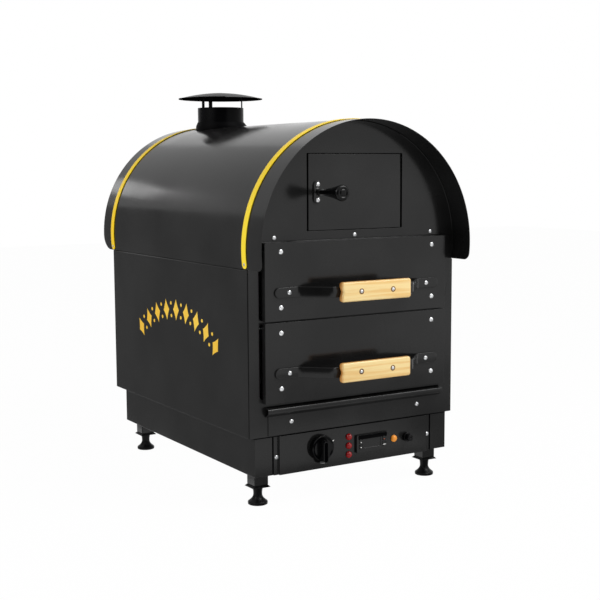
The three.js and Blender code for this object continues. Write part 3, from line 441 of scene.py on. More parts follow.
@dataclass(frozen=True)
class Graph:
    """Adds nodes to a node tree and wires them.

    Attributes:
        tree: The material's or the group's node tree.
    """

    tree: NodeTree

    def add(self, kind: str, **values: object) -> Node:
        """Adds a node.

        Args:
            kind: The node's type name.
            values: Its properties, or its inputs by name with underscores for spaces.

        Returns:
            The node.
        """
        node = self.tree.nodes.new(kind)
        for name, value in values.items():
            if hasattr(node, name):
                setattr(node, name, value)
            else:
                node.inputs[name.replace("_", " ")].default_value = value
        return node

    def wire(self, source: Socket, target: Socket) -> None:
        """Links an output to an input."""
        self.tree.links.new(source, target)

    def spot(self) -> Socket:
        """Adds the Object coordinates."""
        return self.add("ShaderNodeTexCoord").outputs["Object"]

    def noise(self, scale: float, detail: float, stretch: Point = (1, 1, 1)) -> Socket:
        """Adds a noise on Object coordinates.

        Args:
            scale: Features per metre.
            detail: How many finer layers it has.
            stretch: The scale along each axis.

        Returns:
            The noise's value.
        """
        mapping = self.add("ShaderNodeMapping", Scale=stretch)
        texture = self.add("ShaderNodeTexNoise", Scale=scale, Detail=detail)
        self.wire(self.spot(), mapping.inputs["Vector"])
        self.wire(mapping.outputs["Vector"], texture.inputs["Vector"])
        return texture.outputs["Fac"]

    def between(self, value: Socket, low: float, high: float) -> Socket:
        """Stretches the middle of a value to 0 and 1.

        Args:
            value: The value to stretch.
            low: What becomes 0.
            high: What becomes 1.

        Returns:
            The stretched value.
        """
        spread = self.add("ShaderNodeMapRange", From_Min=low, From_Max=high)
        self.wire(value, spread.inputs["Value"])
        return spread.outputs["Result"]

    def mixed(self, share: Socket, first: Socket | Colour, second: Socket | Colour) -> Socket:
        """Mixes two colours.

        Args:
            share: How much of the second colour shows.
            first: A colour or a socket.
            second: A colour or a socket.

        Returns:
            The mixed colour.
        """
        mix = self.add("ShaderNodeMix", data_type="RGBA")
        self.wire(share, mix.inputs[0])
        for colour, socket in ((first, mix.inputs[6]), (second, mix.inputs[7])):
            if isinstance(colour, tuple):
                socket.default_value = colour
            else:
                self.wire(colour, socket)
        return mix.outputs[2]

    def sum(self, first: Socket, second: Socket, weight: float) -> Socket:
        """Adds a weighted value to another.

        Args:
            first: The value that stays.
            second: The value that is weighted.
            weight: Its weight.

        Returns:
            first + weight * second.
        """
        node = self.add("ShaderNodeMath", operation="MULTIPLY_ADD")
        self.wire(second, node.inputs[0])
        node.inputs[1].default_value = weight
        self.wire(first, node.inputs[2])
        return node.outputs[0]


COLOUR, NUMBER = "NodeSocketColor", "NodeSocketFloat"
LOOK = {"Color": COLOUR, "Roughness": NUMBER, "Height": NUMBER}  # what a group puts out


def start_look(name: str, tones: tuple[str, str], more: Sequence[str] = ()) -> tuple[Graph, Node]:
    """Starts a shader node group that takes two tones and two roughnesses and puts out a look.

    Args:
        name: The group's name.
        tones: The names of its two colours.
        more: The names of further numbers.

    Returns:
        The group's graph and its input node.
    """
    tree = bpy.data.node_groups.new(name, "ShaderNodeTree")
    inputs = {**dict.fromkeys(tones, COLOUR), **dict.fromkeys((*more, "Smooth", "Rough"), NUMBER)}
    for sockets, way in ((inputs, "INPUT"), (LOOK, "OUTPUT")):
        for label, kind in sockets.items():
            tree.interface.new_socket(label, in_out=way, socket_type=kind)
    graph = Graph(tree)
    return graph, graph.add("NodeGroupInput")


def end_look(
    graph: Graph, given: Node, tone: Socket, gloss: Socket, height: Socket, top: float = 1.0
) -> NodeTree:
    """Mixes the tones and the roughnesses and puts them out with the height.

    Args:
        graph: The group's graph.
        given: Its input node.
        tone: The second tone's share.
        gloss: What the roughness follows.
        height: The relief.
        top: The value of gloss at which the roughness is highest.

    Returns:
        The finished group.
    """
    put = graph.add("NodeGroupOutput")
    spread = graph.add("ShaderNodeMapRange", From_Max=top)
    graph.wire(gloss, spread.inputs["Value"])
    graph.wire(given.outputs["Smooth"], spread.inputs["To Min"])
    graph.wire(given.outputs["Rough"], spread.inputs["To Max"])
    graph.wire(graph.mixed(tone, given.outputs[0], given.outputs[1]), put.inputs["Color"])
    graph.wire(spread.outputs["Result"], put.inputs["Roughness"])
    graph.wire(height, put.inputs["Height"])
    return graph.tree


def coat_group() -> NodeTree:
    """Builds a sprayed coat: a fine peel for the height, with clouds and specks in its tone and gloss.

    Returns:
        The node group.
    """
    graph, given = start_look("sprayed_coat", ("Deep", "Pale"), ["Peel"])
    peel = graph.add("ShaderNodeTexNoise", Detail=2.0, Roughness=0.45)
    graph.wire(graph.spot(), peel.inputs["Vector"])
    graph.wire(given.outputs["Peel"], peel.inputs["Scale"])
    clouds = graph.between(graph.noise(scale=7.0, detail=4.0), low=0.35, high=0.7)
    specks = graph.between(graph.noise(scale=900.0, detail=1.0), low=0.62, high=0.8)
    return end_look(graph, given, graph.sum(clouds, specks, weight=0.6), clouds, peel.outputs["Fac"])


def brushed_group() -> NodeTree:
    """Builds rolled sheet: long fine streaks across a soft mottling.

    Returns:
        The node group.
    """
    graph, given = start_look("rolled_sheet", ("Deep", "Pale"))
    streaks = graph.noise(scale=90.0, detail=3.0, stretch=(12.0, 0.6, 12.0))
    mottle = graph.between(graph.noise(scale=14.0, detail=3.0), low=0.3, high=0.7)
    tone = graph.sum(mottle, streaks, weight=0.5)
    return end_look(graph, given, tone, tone, streaks, top=1.5)


def grain_group() -> NodeTree:
    """Builds straight pine grain along x: slow bands of late wood and short fibres.

    Returns:
        The node group.
    """
    graph, given = start_look("pine_grain", ("Early", "Late"))
    bands = graph.between(graph.noise(scale=30.0, detail=3.0, stretch=(0.25, 5.0, 6.0)), low=0.42, high=0.68)
    fibres = graph.noise(scale=160.0, detail=2.0, stretch=(0.5, 8.0, 8.0))
    return end_look(graph, given, graph.sum(bands, fibres, weight=0.35), fibres, fibres)


COAT = coat_group()
BRUSHED = brushed_group()
GRAIN = grain_group()


# Finishes


@dataclass(frozen=True)
class Finish:
    """A finish made from one of the shared groups.

    Attributes:
        name: The material's name.
        deep: The darker or base tone.
        pale: The lighter or second tone.
        smooth: The lowest roughness.
        rough: The highest roughness.
        metallic: 0 for paint, wood and plastic, 1 for bare metal.
        specular: The reflection level of the surface, 0.5 for most.
        lacquer: The weight of a clear coat.
        bump: The height of the relief in metres.
    """

    name: str
    deep: Colour
    pale: Colour
    smooth: float
    rough: float
    metallic: float = 0.0
    specular: float = 0.5
    lacquer: float = 0.0
    bump: float = 0.0001

    def place_group(self, graph: Graph) -> Node:
        """Adds the group that gives colour, roughness and height.

        Args:
            graph: The material's graph.

        Returns:
            The group's node.
        """
        raise NotImplementedError

    def material(self) -> bpy.types.Material:
        """Makes the material, or finds it where it was made before.

        Returns:
            The finish's one material.
        """
        made = bpy.data.materials.get(self.name)
        if made:
            return made
        made = bpy.data.materials.new(self.name)
        made.use_nodes = True
        graph = Graph(made.node_tree)
        shader = made.node_tree.nodes["Principled BSDF"]
        shader.inputs["Metallic"].default_value = self.metallic
        shader.inputs["Specular IOR Level"].default_value = self.specular
        shader.inputs["Coat Weight"].default_value = self.lacquer
        look = self.place_group(graph)
        relief = graph.add("ShaderNodeBump", Distance=self.bump, Strength=1.0)
        graph.wire(look.outputs["Color"], shader.inputs["Base Color"])
        graph.wire(look.outputs["Roughness"], shader.inputs["Roughness"])
        graph.wire(look.outputs["Height"], relief.inputs["Height"])
        graph.wire(relief.outputs["Normal"], shader.inputs["Normal"])
        self.finish_off(graph, shader, look)
        return made

    def finish_off(self, graph: Graph, shader: Node, look: Node) -> None:
        """Adds what one kind of finish has on top of its group.

        Args:
            graph: The material's graph.
            shader: Its Principled node.
            look: Its group node.
        """


@dataclass(frozen=True)
class Sprayed(Finish):
    """Powder coat, paint or moulded plastic.

    Attributes:
        peel: Features of the peel per metre.
    """

    peel: float = 700.0

    def place_group(self, graph: Graph) -> Node:
        """Adds the sprayed coat."""
        tones = {"Deep": self.deep, "Pale": self.pale, "Peel": self.peel}
        return graph.add("ShaderNodeGroup", node_tree=COAT, Smooth=self.smooth, Rough=self.rough, **tones)


@dataclass(frozen=True)
class RolledSheet(Finish):
    """Bare sheet metal with the streaks of its rolling."""

    def place_group(self, graph: Graph) -> Node:
        """Adds the rolled sheet."""
        tones = {"Deep": self.deep, "Pale": self.pale}
        return graph.add("ShaderNodeGroup", node_tree=BRUSHED, Smooth=self.smooth, Rough=self.rough, **tones)


@dataclass(frozen=True)
class Pine(Finish):
    """Lacquered pine whose end grain is a warmer brown, with the same brown painted as shade on its edges and
    on the faces behind its front.

    Attributes:
        edge: The tone of the end grain, also painted as shade on the rounded edges.
        face_y: The grip's front in the row frame, in metres.
        half_length: Half the grip's length, in metres.
        end_fade: Where the brown starts and is full, past the grip's end, in metres.
        edge_fade: Where the painted shade starts and is full behind the grip's front, in metres.
    """

    edge: Colour = (0.5, 0.25, 0.06, 1.0)
    face_y: float = -0.3646
    half_length: float = 0.079
    end_fade: Pair = (-0.004, 0.001)
    edge_fade: Pair = (0.0008, 0.006)

    def place_group(self, graph: Graph) -> Node:
        """Adds the grain."""
        tones = {"Early": self.deep, "Late": self.pale}
        return graph.add("ShaderNodeGroup", node_tree=GRAIN, Smooth=self.smooth, Rough=self.rough, **tones)

    def finish_off(self, graph: Graph, shader: Node, look: Node) -> None:
        """Browns the end grain near both ends, and paints shade in the same brown behind the front face.

        Args:
            graph: The material's graph.
            shader: Its Principled node.
            look: Its group node.
        """
        split = graph.add("ShaderNodeSeparateXYZ")
        length = graph.add("ShaderNodeMath", operation="ABSOLUTE")
        graph.wire(graph.spot(), split.inputs[0])
        graph.wire(split.outputs["X"], length.inputs[0])
        ends = graph.between(length.outputs[0], *(self.half_length + fade for fade in self.end_fade))
        # painted shade: everything behind the grip's front takes the brown edge tone
        depth = graph.between(split.outputs["Y"], *(self.face_y + fade for fade in self.edge_fade))
        end_grain_and_shade = graph.add("ShaderNodeMath", operation="MAXIMUM")
        graph.wire(ends, end_grain_and_shade.inputs[0])
        graph.wire(depth, end_grain_and_shade.inputs[1])
        tone = graph.mixed(end_grain_and_shade.outputs[0], look.outputs["Color"], self.edge)
        graph.wire(tone, shader.inputs["Base Color"])


@dataclass(frozen=True)
class Lens(Sprayed):
    """A lamp lens that glows brightest in its middle: the light of the lit amber lamp, and a painted
    highlight on the unlit red lamps.

    Attributes:
        centre: The lamp's middle in millimetres.
        radius: Where the glow ends, in millimetres.
        core: The colour of the glowing middle.
        glow: The strength of its light.
    """

    centre: Point = (0.0, 0.0, 0.0)
    radius: float = 6.0
    core: Colour = (1.0, 0.2, 0.1, 1.0)
    glow: float = 1.0

    def finish_off(self, graph: Graph, shader: Node, look: Node) -> None:
        """Makes the lens glow by the distance from its own middle.

        Args:
            graph: The material's graph.
            shader: Its Principled node.
            look: Its group node.
        """
        mapping = graph.add("ShaderNodeMapping", Location=tuple(-metres(self.centre)))
        length = graph.add("ShaderNodeVectorMath", operation="LENGTH")
        graph.wire(graph.spot(), mapping.inputs["Vector"])
        graph.wire(mapping.outputs["Vector"], length.inputs[0])
        share = graph.between(length.outputs["Value"], self.radius * METRE, 0.0)
        graph.wire(graph.mixed(share, BLACK, self.core), shader.inputs["Emission Color"])
        shader.inputs["Emission Strength"].default_value = self.glow


POWDER = Sprayed(
    "black_powder_coat_fine", linear(19, 19, 19), linear(29, 29, 29), 0.13, 0.21, specular=0.32, bump=0.00004
)
STOVE = Sprayed(
    "chimney_gloss_coat", linear(3, 3, 4), linear(8, 8, 9), 0.16, 0.28,
    specular=0.045, bump=0.00005, peel=420.0,
)
YELLOW = Sprayed(
    "yellow_trim_paint", linear(252, 210, 22), linear(255, 226, 44), 0.34, 0.48,
    specular=0.25, bump=0.00004, peel=500.0,
)
PRINT = Sprayed(
    "yellow_ornament_paint", linear(246, 192, 44), linear(252, 210, 74), 0.45, 0.6,
    specular=0.3, bump=0.00003, peel=800.0,
)
STEEL = RolledSheet(
    "aluminised_steel_sheet", linear(150, 152, 154), linear(190, 191, 192), 0.28, 0.45,
    metallic=1.0, bump=0.00004,
)
ELEMENT = RolledSheet(
    "element_sheath", linear(84, 86, 84), linear(122, 118, 108), 0.35, 0.6, metallic=1.0, bump=0.00006
)
ZINC = RolledSheet(
    "bright_zinc_heads", linear(206, 208, 210), linear(238, 239, 240), 0.18, 0.34, metallic=0.85, bump=0.00002
)
CAP = Sprayed(
    "weathered_cap_coat", linear(13, 13, 14), linear(24, 24, 25), 0.3, 0.42,
    specular=0.05, bump=0.00005, peel=420.0,
)
SEALANT = Sprayed(
    "black_stove_sealant", linear(3, 3, 4), linear(9, 9, 10), 0.35, 0.5, specular=0.02, peel=240.0
)
# Matt black: the knob's inlay, and painted shade on the rain cap's underside, in the panel's gaps and along
# the cabinet's foot.
MATT_BLACK_SHADE = Sprayed("matt_black_and_painted_shade", linear(3, 3, 4), linear(8, 8, 9), 0.6, 0.8, specular=0.0)
# A brown ring painted as shade round the grip's screw heads.
SCREW_SHADE = Sprayed("brown_painted_screw_shade", linear(92, 62, 30), linear(120, 84, 44), 0.5, 0.7, bump=0.00003)
PLASTIC = Sprayed(
    "black_plastic_gloss", linear(3, 3, 4), linear(8, 8, 9), 0.12, 0.22,
    specular=0.17, bump=0.00003, peel=350.0,
)
RUBBER = Sprayed(
    "black_foot_plastic", linear(5, 5, 6), linear(12, 12, 13), 0.24, 0.38,
    specular=0.12, bump=0.00008, peel=650.0,
)
CASE = Sprayed(
    "controller_case", linear(18, 18, 18), linear(26, 26, 26), 0.14, 0.22, specular=0.3, bump=0.00003
)
AMBER_MARK = Sprayed("amber_printed_mark", linear(150, 64, 36), linear(176, 84, 48), 0.4, 0.5, bump=0.00002)
# A dark display band that also paints the shade along the controller's top.
DISPLAY_SHADE = Sprayed(
    "dark_display_and_shade_band", linear(4, 4, 5), linear(8, 8, 9), 0.1, 0.16,
    specular=0.02, bump=0.00001, peel=120.0,
)
MARKS = Sprayed("white_printed_marks", linear(226, 226, 224), linear(246, 246, 244), 0.4, 0.5, bump=0.00002)
WOOL = Sprayed(
    "mineral_wool_blanket", linear(150, 134, 96), linear(204, 190, 150), 0.85, 1.0, bump=0.002, peel=260.0
)
# The red lamps are unlit: the faint glow in their middles is a painted highlight.
RED_LENS = Lens(
    "red_lens", linear(128, 8, 12), linear(168, 14, 18), 0.06, 0.12, bump=0.00002, peel=500.0,
    radius=6.5, core=linear(255, 60, 50), glow=0.06,
)
AMBER_LENS = Lens(
    "amber_lens", linear(138, 74, 12), linear(164, 92, 20), 0.08, 0.16, bump=0.00002, peel=500.0,
    radius=3.4, core=linear(255, 220, 160), glow=1.1,
)
PINE = Pine(
    "lacquered_pine", linear(250, 224, 160), linear(238, 196, 122), 0.3, 0.42, lacquer=0.25, bump=0.00006,
    edge=linear(205, 140, 66),
)


# Pieces

MERGE = 1e-7  # how close two points of a piece are one, in metres
MERGE_SOLID = 2e-6  # the same in a copy of a CAD node
FLAT_ANGLE = 0.6  # degrees up to which a copy's faces are joined
EASED_ANGLE = 38.0  # degrees over which an edge is eased
EASED_FACES = 2  # faces across an eased edge


def dress(obj: Object, finish: Finish, body: str, nodes: Sequence[str], edge: float) -> Object:
    """Gives a finished mesh its material and eased edges, sets it on its body and hides the CAD nodes that it
    stands for.

    Args:
        obj: The mesh object.
        finish: Its finish.
        body: The CAD body that it rides on.
        nodes: The CAD nodes that it stands for.
        edge: The width of its eased edges in millimetres, or 0.

    Returns:
        The object.
    """
    obj.data.materials.clear()
    obj.data.materials.append(finish.material())
    if edge:
        bevel = obj.modifiers.new("eased_edges", "BEVEL")
        bevel.width = edge * METRE
        bevel.segments = EASED_FACES
        bevel.limit_method = "ANGLE"
        bevel.angle_limit = math.radians(EASED_ANGLE)
        bevel.use_clamp_overlap = False
        bevel.harden_normals = True
    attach(obj, body)
    if nodes:
        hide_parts(*nodes)
    log.info("%s rides on %s in %s", obj.name, body, finish.name)
    return obj


def piece(
    name: str,
    surface: Surface,
    finish: Finish,
    body: str = "cabinet",
    nodes: Sequence[str] = (),
    edge: float = 0.0,
    wall: float = 0.0,
    sharp: float = 34.0,
) -> Object:
    """Makes a piece from a surface in the oven's millimetres.

    Args:
        name: The piece's name.
        surface: Its points and faces.
        finish: Its finish.
        body: The CAD body that it rides on.
        nodes: The CAD nodes that it stands for.
        edge: The width of its eased edges.
        wall: The thickness that an open sheet gets on its inner side.
        sharp: Edges over this angle in degrees stay sharp.

    Returns:
        The finished object.
    """
    mesh = bpy.data.meshes.new(name)
    mesh.from_pydata(metres(surface.points).tolist(), [], surface.faces)
    built = bmesh.new()
    built.from_mesh(mesh)
    bmesh.ops.remove_doubles(built, verts=built.verts, dist=MERGE)
    if not wall:
        bmesh.ops.recalc_face_normals(built, faces=built.faces)
    built.to_mesh(mesh)
    built.free()
    mesh.shade_smooth()
    mesh.set_sharp_from_angle(angle=math.radians(sharp))
    obj = stood(name, mesh)
    if wall:
        solid = obj.modifiers.new("sheet_wall", "SOLIDIFY")
        solid.thickness = wall * METRE
        solid.offset = -1.0
    return dress(obj, finish, body, nodes, edge)


def eased_copy(node: str, finish: Finish, edge: float = 0.5, sharp: float = 30.0) -> Object:
    """Stands a merged copy with eased edges in for a CAD node.

    Args:
        node: The CAD node.
        finish: Its finish.
        edge: The width of its eased edges in millimetres.
        sharp: Edges over this angle in degrees stay sharp.

    Returns:
        The finished object.
    """
    source = frame["nodes"][node]
    mesh = bpy.data.meshes.new(f"{node}_eased")
    built = bmesh.new()
    built.from_mesh(source.data)
    bmesh.ops.remove_doubles(built, verts=built.verts, dist=MERGE_SOLID)
    flat = math.radians(FLAT_ANGLE)
    bmesh.ops.dissolve_limit(built, angle_limit=flat, verts=built.verts, edges=built.edges)
    built.to_mesh(mesh)
    built.free()
    if "custom_normal" in mesh.attributes:
        mesh.attributes.remove(mesh.attributes["custom_normal"])
    mesh.shade_smooth()
    mesh.set_sharp_from_angle(angle=math.radians(sharp))
    return dress(stood(f"{node}_eased", mesh), finish, source["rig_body"], [node], edge)


def repaint(node: str, finish: Finish) -> None:
    """Gives a CAD node that stays its finish.

    Args:
        node: The CAD node.
        finish: Its finish.
    """
    source = frame["nodes"][node]
    source.data.materials.clear()
    source.data.materials.append(finish.material())
    log.info("%s keeps its solid in %s", node, finish.name)


# Fasteners


@dataclass(frozen=True)
class Fastener:
    """A fastener's head, whose own z points away from the sheet.

    Widths and depths below are shares of the head's radius and height.

    Attributes:
        head: Its kind.
        radius: The head's radius.
        height: How far it stands proud.
        rings: Where the head's rings of points lie.
        rim: The height of its rim.
        slot: Half the width of a recess.
        cross_reach: How far a cross reaches.
        cross_depth: How deep it is.
        slot_reach: How far a slot reaches.
        slot_depth: How deep it is.
        slot_slant: How much x changes with y along it.
        hole: The radius of the hole that a rivet's mandrel leaves.
        hole_depth: How deep it is.
    """

    head: Head
    radius: float
    height: float
    rings: tuple[float, ...] = (
        1, 1, 0.97, 0.88, 0.72, 0.62, 0.54, 0.46, 0.38, 0.3, 0.24, 0.19, 0.14, 0.08, 0
    )
    rim: float = 0.25
    slot: float = 0.13
    cross_reach: float = 0.6
    cross_depth: float = 0.6
    slot_reach: float = 0.95
    slot_depth: float = 0.45
    slot_slant: float = 0.4
    hole: float = 0.28
    hole_depth: float = 0.5

    def surface(self) -> Surface:
        """Works out the head.

        The dome is h sqrt(1 - (r / R)^2) over a short rim. A screw's recess lowers the points that lie
        within half its width of one or two diameters, up to its own reach, and a rivet's hole lowers those
        near its middle.

        Returns:
            The closed surface with its base at z = 0.
        """
        shares = np.array(self.rings, float)
        steps = 40 if self.head is not Head.RIVET else 24
        turn = np.linspace(0, 2 * np.pi, steps, endpoint=False)
        x = self.radius * np.outer(shares, np.cos(turn))
        y = self.radius * np.outer(shares, np.sin(turn))
        dome = np.sqrt(np.maximum(1 - shares**2, 0.0))
        z = np.repeat((self.height * (self.rim + (1 - self.rim) * dome))[:, None], steps, 1)
        z[0] = 0.0
        half = self.slot * self.radius
        if self.head is Head.CROSS:
            cut = np.minimum(np.abs(x), np.abs(y)) < half
            z -= self.cross_depth * self.height * (cut & (np.hypot(x, y) < self.cross_reach * self.radius))
        elif self.head is Head.SLOTTED:
            cut = np.abs(x - self.slot_slant * y) < half
            z -= self.slot_depth * self.height * (cut & (shares < self.slot_reach)[:, None])
        else:
            z -= self.hole_depth * self.height * (shares < self.hole)[:, None]
        return wound(np.stack([x, y, z], -1))

    def fitted(
        self, name: str, places: Sequence[Point], body: str = "cabinet", facing: Facing = Facing.FRONT
    ) -> Object:
        """Sets the head at several places as one piece.

        Args:
            name: The piece's name.
            places: Where the heads stand on their sheet.
            body: The CAD body that carries them.
            facing: Where they point.

        Returns:
            The finished object.
        """
        return piece(name, self.surface().repeated(np.array(places, float), facing), ZINC, body, sharp=50.0)


SHEET_SCREW = Fastener(Head.CROSS, 4.2, 2.4)
BLIND_RIVET = Fastener(Head.RIVET, 4.7, 2.2)
WOOD_SCREW = Fastener(Head.SLOTTED, 3.0, 1.5)
TRIM_RIVET = Fastener(Head.RIVET, 3.2, 1.2)


# Sub-assemblies


@dataclass
class Cabinet:
    """The body's sheets, with the screws of the arched face, the fascia and the rear panel.

    Attributes:
        edge: The width of a folded edge's shine.
        arch_screws: x of the screws along the arched face's foot.
        arch_screw_z: Their height.
        fascia_screw_x: x of the fascia's two screws, either way.
        fascia_screw_z: Their height.
        fascia_y: The fascia's face.
        fascia_half: Half the fascia's length.
        ledge_half: Half the ledge's length.
        ledge_wall: The thickness of both.
        lip: y and z of the corners of the ledge's section.
        lip_setback: How far from a corner its bends start.
        apron: y and z of the corners of the fascia's section.
        apron_setback: How far from a corner its bends start.
        bead_radius: The radius of the beads round the arched face.
        bead_ends: The angles of their ends in degrees.
        bead_section: Their width, their thickness and the radius of their edges.
        bead_y: Their middle line.
        rear_screw_x: x of the rear panel's screws, either way, and the radius of their arc.
        rear_screw_zs: The heights of those below the arc.
        rear_screw_turns: The angles of those on the arc in degrees.
    """

    edge: float = 0.6
    arch_screws: tuple[float, ...] = (-181.0, -3.0, 179.0)
    arch_screw_z: float = 506.0
    fascia_screw_x: float = 147.0
    fascia_screw_z: float = 160.5
    fascia_y: float = -1.8
    fascia_half: float = 197.0
    ledge_half: float = 203.0
    ledge_wall: float = 1.5
    lip: tuple[Pair, ...] = ((-1.05, 193.0), (-12.3, 189.25), (-12.3, 181.5), (-1.05, 174.5))
    lip_setback: float = 1.6
    apron: tuple[Pair, ...] = ((-1.05, 174.5), (-1.05, 156.0), (-1.05, 137.95))
    apron_setback: float = 1.0
    bead_radius: float = 235.9
    bead_ends: Pair = (-4.0, 64.0)
    bead_section: tuple[float, float, float] = (1.5, 1.4, 0.6)
    bead_y: float = -0.5
    rear_screw_x: float = 216.0
    rear_screw_zs: tuple[float, ...] = (165.0, 265.0, 365.0, 465.0)
    rear_screw_turns: tuple[float, ...] = (30.0, 60.0, 90.0, 120.0, 150.0)

    def bead(self, side: int) -> Surface:
        """Works out the bead that seals the arched face to the barrel: x = R cos a, z = axis + R sin a.

        Args:
            side: -1 for the left and 1 for the right.

        Returns:
            The closed thin bead.
        """
        turn = np.radians(np.linspace(*self.bead_ends, 70))
        out = np.stack([side * np.cos(turn), np.zeros_like(turn), np.sin(turn)], 1)
        path = np.array([0.0, self.bead_y, BARREL_AXIS]) + self.bead_radius * out
        across = np.broadcast_to([0.0, 1.0, 0.0], path.shape)
        return strip(path, across, out, *self.bead_section)

    def ledge(self) -> Surface:
        """Works out the ledge with its lip and slanted underside, and the fascia below it.

        Returns:
            The two closed sheets.
        """
        return together([
            folded(np.array(self.lip), self.lip_setback, self.ledge_wall, self.ledge_half),
            folded(np.array(self.apron), self.apron_setback, self.ledge_wall, self.fascia_half),
        ])

    def rear_screws(self) -> list[Point]:
        """Places the rear panel's screws: x = r cos a and z = axis + r sin a on the arc, and rows below it.

        Returns:
            Where the screws stand.
        """
        radius = self.rear_screw_x
        rear = float(millimetres(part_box("rear_panel"))[1, 1])
        turns = np.radians(self.rear_screw_turns).tolist()
        arc = [(radius * math.cos(turn), rear, BARREL_AXIS + radius * math.sin(turn)) for turn in turns]
        return arc + [(side * radius, rear, z) for side in (-1, 1) for z in self.rear_screw_zs]

    def build(self) -> None:
        """Builds the sheets and their screws."""
        for node in (
            "side_panel_left", "side_panel_right", "rear_panel", "front_frame", "arch_panel", "base_plate"
        ):
            eased_copy(node, POWDER, self.edge)
        piece("ledge_with_fascia", self.ledge(), POWDER, nodes=["ledge_fascia"], edge=0.4)
        for name, side in (("left", -1), ("right", 1)):
            piece(f"arch_bead_{name}", self.bead(side), POWDER)
        arch = [(x, 0.0, self.arch_screw_z) for x in self.arch_screws]
        fascia = [(side * self.fascia_screw_x, self.fascia_y, self.fascia_screw_z) for side in (-1, 1)]
        SHEET_SCREW.fitted("arch_screws", arch)
        SHEET_SCREW.fitted("rear_screws", self.rear_screws(), facing=Facing.REAR)
        SHEET_SCREW.fitted("fascia_screws", fascia)


@dataclass
class Roof:
    """The barrel roof with its hood, and the two yellow trims round it.

    Attributes:
        radius: The barrel's outer radius.
        axis_z: The height of its axis.
        edge_z: The height of its lower edges.
        front: The hood's front edge.
        rear: The overhang's rear edge.
        front_round: The radius of the front corners.
        rear_round: The radius of the rear corners.
        wall: The sheet's thickness.
        flue_y: The flue's axis.
        flue_hole: The radius of the hole under the collar.
        trims: The front edge of each trim.
        trim_width: The trims' width.
        trim_wall: The trims' thickness.
        trim_ease: The radius of their long edges.
        trim_lift: How far the trims end above the roof's edge.
        rivet_sunk: How far a trim's rivet lies in it.
        turn_steps: Points of the sheet round the barrel.
        run_steps: Points along it.
    """

    radius: float = 238.583
    axis_z: float = BARREL_AXIS
    edge_z: float = 450.0
    front: float = -52.0
    rear: float = 674.0
    front_round: float = 14.0
    rear_round: float = 32.0
    wall: float = 1.5
    flue_y: float = 545.0
    flue_hole: float = 52.8
    trims: Pair = (1.0, 612.0)
    trim_width: float = 16.0
    trim_wall: float = 1.7
    trim_ease: float = 0.7
    trim_lift: float = 1.5
    rivet_sunk: float = 0.4
    turn_steps: int = 150
    run_steps: int = 116

    def sheet(self) -> Surface:
        """Works out the barrel on a grid of turn and run.

        x = R cos a and z = axis + R sin a. Along y, the run goes from the front to the rear edge, and near
        the roof's lower edges both move inwards by r - sqrt(r^2 - (r - h)^2), where h is the height over the
        edge and r the corner's radius. Faces inside the flue's hole are left out.

        Returns:
            The open sheet, which faces outwards.
        """
        start = math.asin((self.edge_z - self.axis_z) / self.radius)
        share = 0.5 - 0.5 * np.cos(np.linspace(0, np.pi, self.turn_steps))
        turn = start + (np.pi - 2 * start) * share
        x, z = self.radius * np.cos(turn), self.axis_z + self.radius * np.sin(turn)
        rise = np.maximum(z - self.edge_z, 0.0)

        def corner(radius: float) -> Array:
            """How far an edge with corners of this radius lies inwards at each height."""
            return radius - np.sqrt(np.maximum(radius**2 - np.maximum(radius - rise, 0) ** 2, 0))

        first, last = self.front + corner(self.front_round), self.rear - corner(self.rear_round)
        run = np.linspace(0, 1, self.run_steps)
        y = first[:, None] + (last - first)[:, None] * run
        points = np.stack([np.repeat(x[:, None], len(run), 1), y, np.repeat(z[:, None], len(run), 1)], -1)
        rows, cols = points.shape[:2]
        i, j = np.meshgrid(np.arange(rows - 1) * cols, np.arange(cols - 1), indexing="ij")
        quads = np.stack([i + j, i + j + 1, i + cols + j + 1, i + cols + j], -1).reshape(-1, 4)
        flat = points.reshape(-1, 3)
        inside = np.hypot(flat[:, 0], flat[:, 1] - self.flue_y) < self.flue_hole
        inside &= flat[:, 2] > self.axis_z
        kept = quads[~inside[quads].any(1)]
        used, order = np.unique(kept, return_inverse=True)
        return Surface(flat[used], order.reshape(-1, 4).tolist())

    def trim(self, front: float) -> Surface:
        """Works out one trim: a flat strip that follows the barrel, with rounded ends.

        Args:
            front: The trim's front edge.

        Returns:
            The closed strip.
        """
        middle = self.radius + SEAT + self.trim_wall / 2
        start = math.asin((self.edge_z + self.trim_lift - self.axis_z) / middle)
        turn = spaced(np.array([[start], [np.pi - start]]), self.turn_steps)[:, 0]
        out = np.stack([np.cos(turn), np.zeros_like(turn), np.sin(turn)], 1)
        path = np.array([0.0, front + self.trim_width / 2, self.axis_z]) + middle * out
        across = np.broadcast_to([0.0, 1.0, 0.0], path.shape)
        return strip(path, across, out, self.trim_width, self.trim_wall, self.trim_ease)

    def build(self) -> None:
        """Builds the sheet, the trims and the rivets at the trims' ends."""
        piece("roof_barrel", self.sheet(), POWDER, nodes=["roof_sheet"], edge=0.4, wall=self.wall)
        for name, front in zip(("front", "rear"), self.trims):
            piece(f"roof_trim_band_{name}", self.trim(front), YELLOW, nodes=[f"roof_trim_{name}"])
            middle = front + self.trim_width / 2
            z = self.edge_z + self.trim_lift + self.trim_width / 2
            x = math.sqrt(self.radius**2 - (z - self.axis_z) ** 2) + SEAT + self.trim_wall - self.rivet_sunk
            TRIM_RIVET.fitted(f"trim_rivet_{name}_left", [(-x, middle, z)], facing=Facing.LEFT)
            TRIM_RIVET.fitted(f"trim_rivet_{name}_right", [(x, middle, z)], facing=Facing.RIGHT)


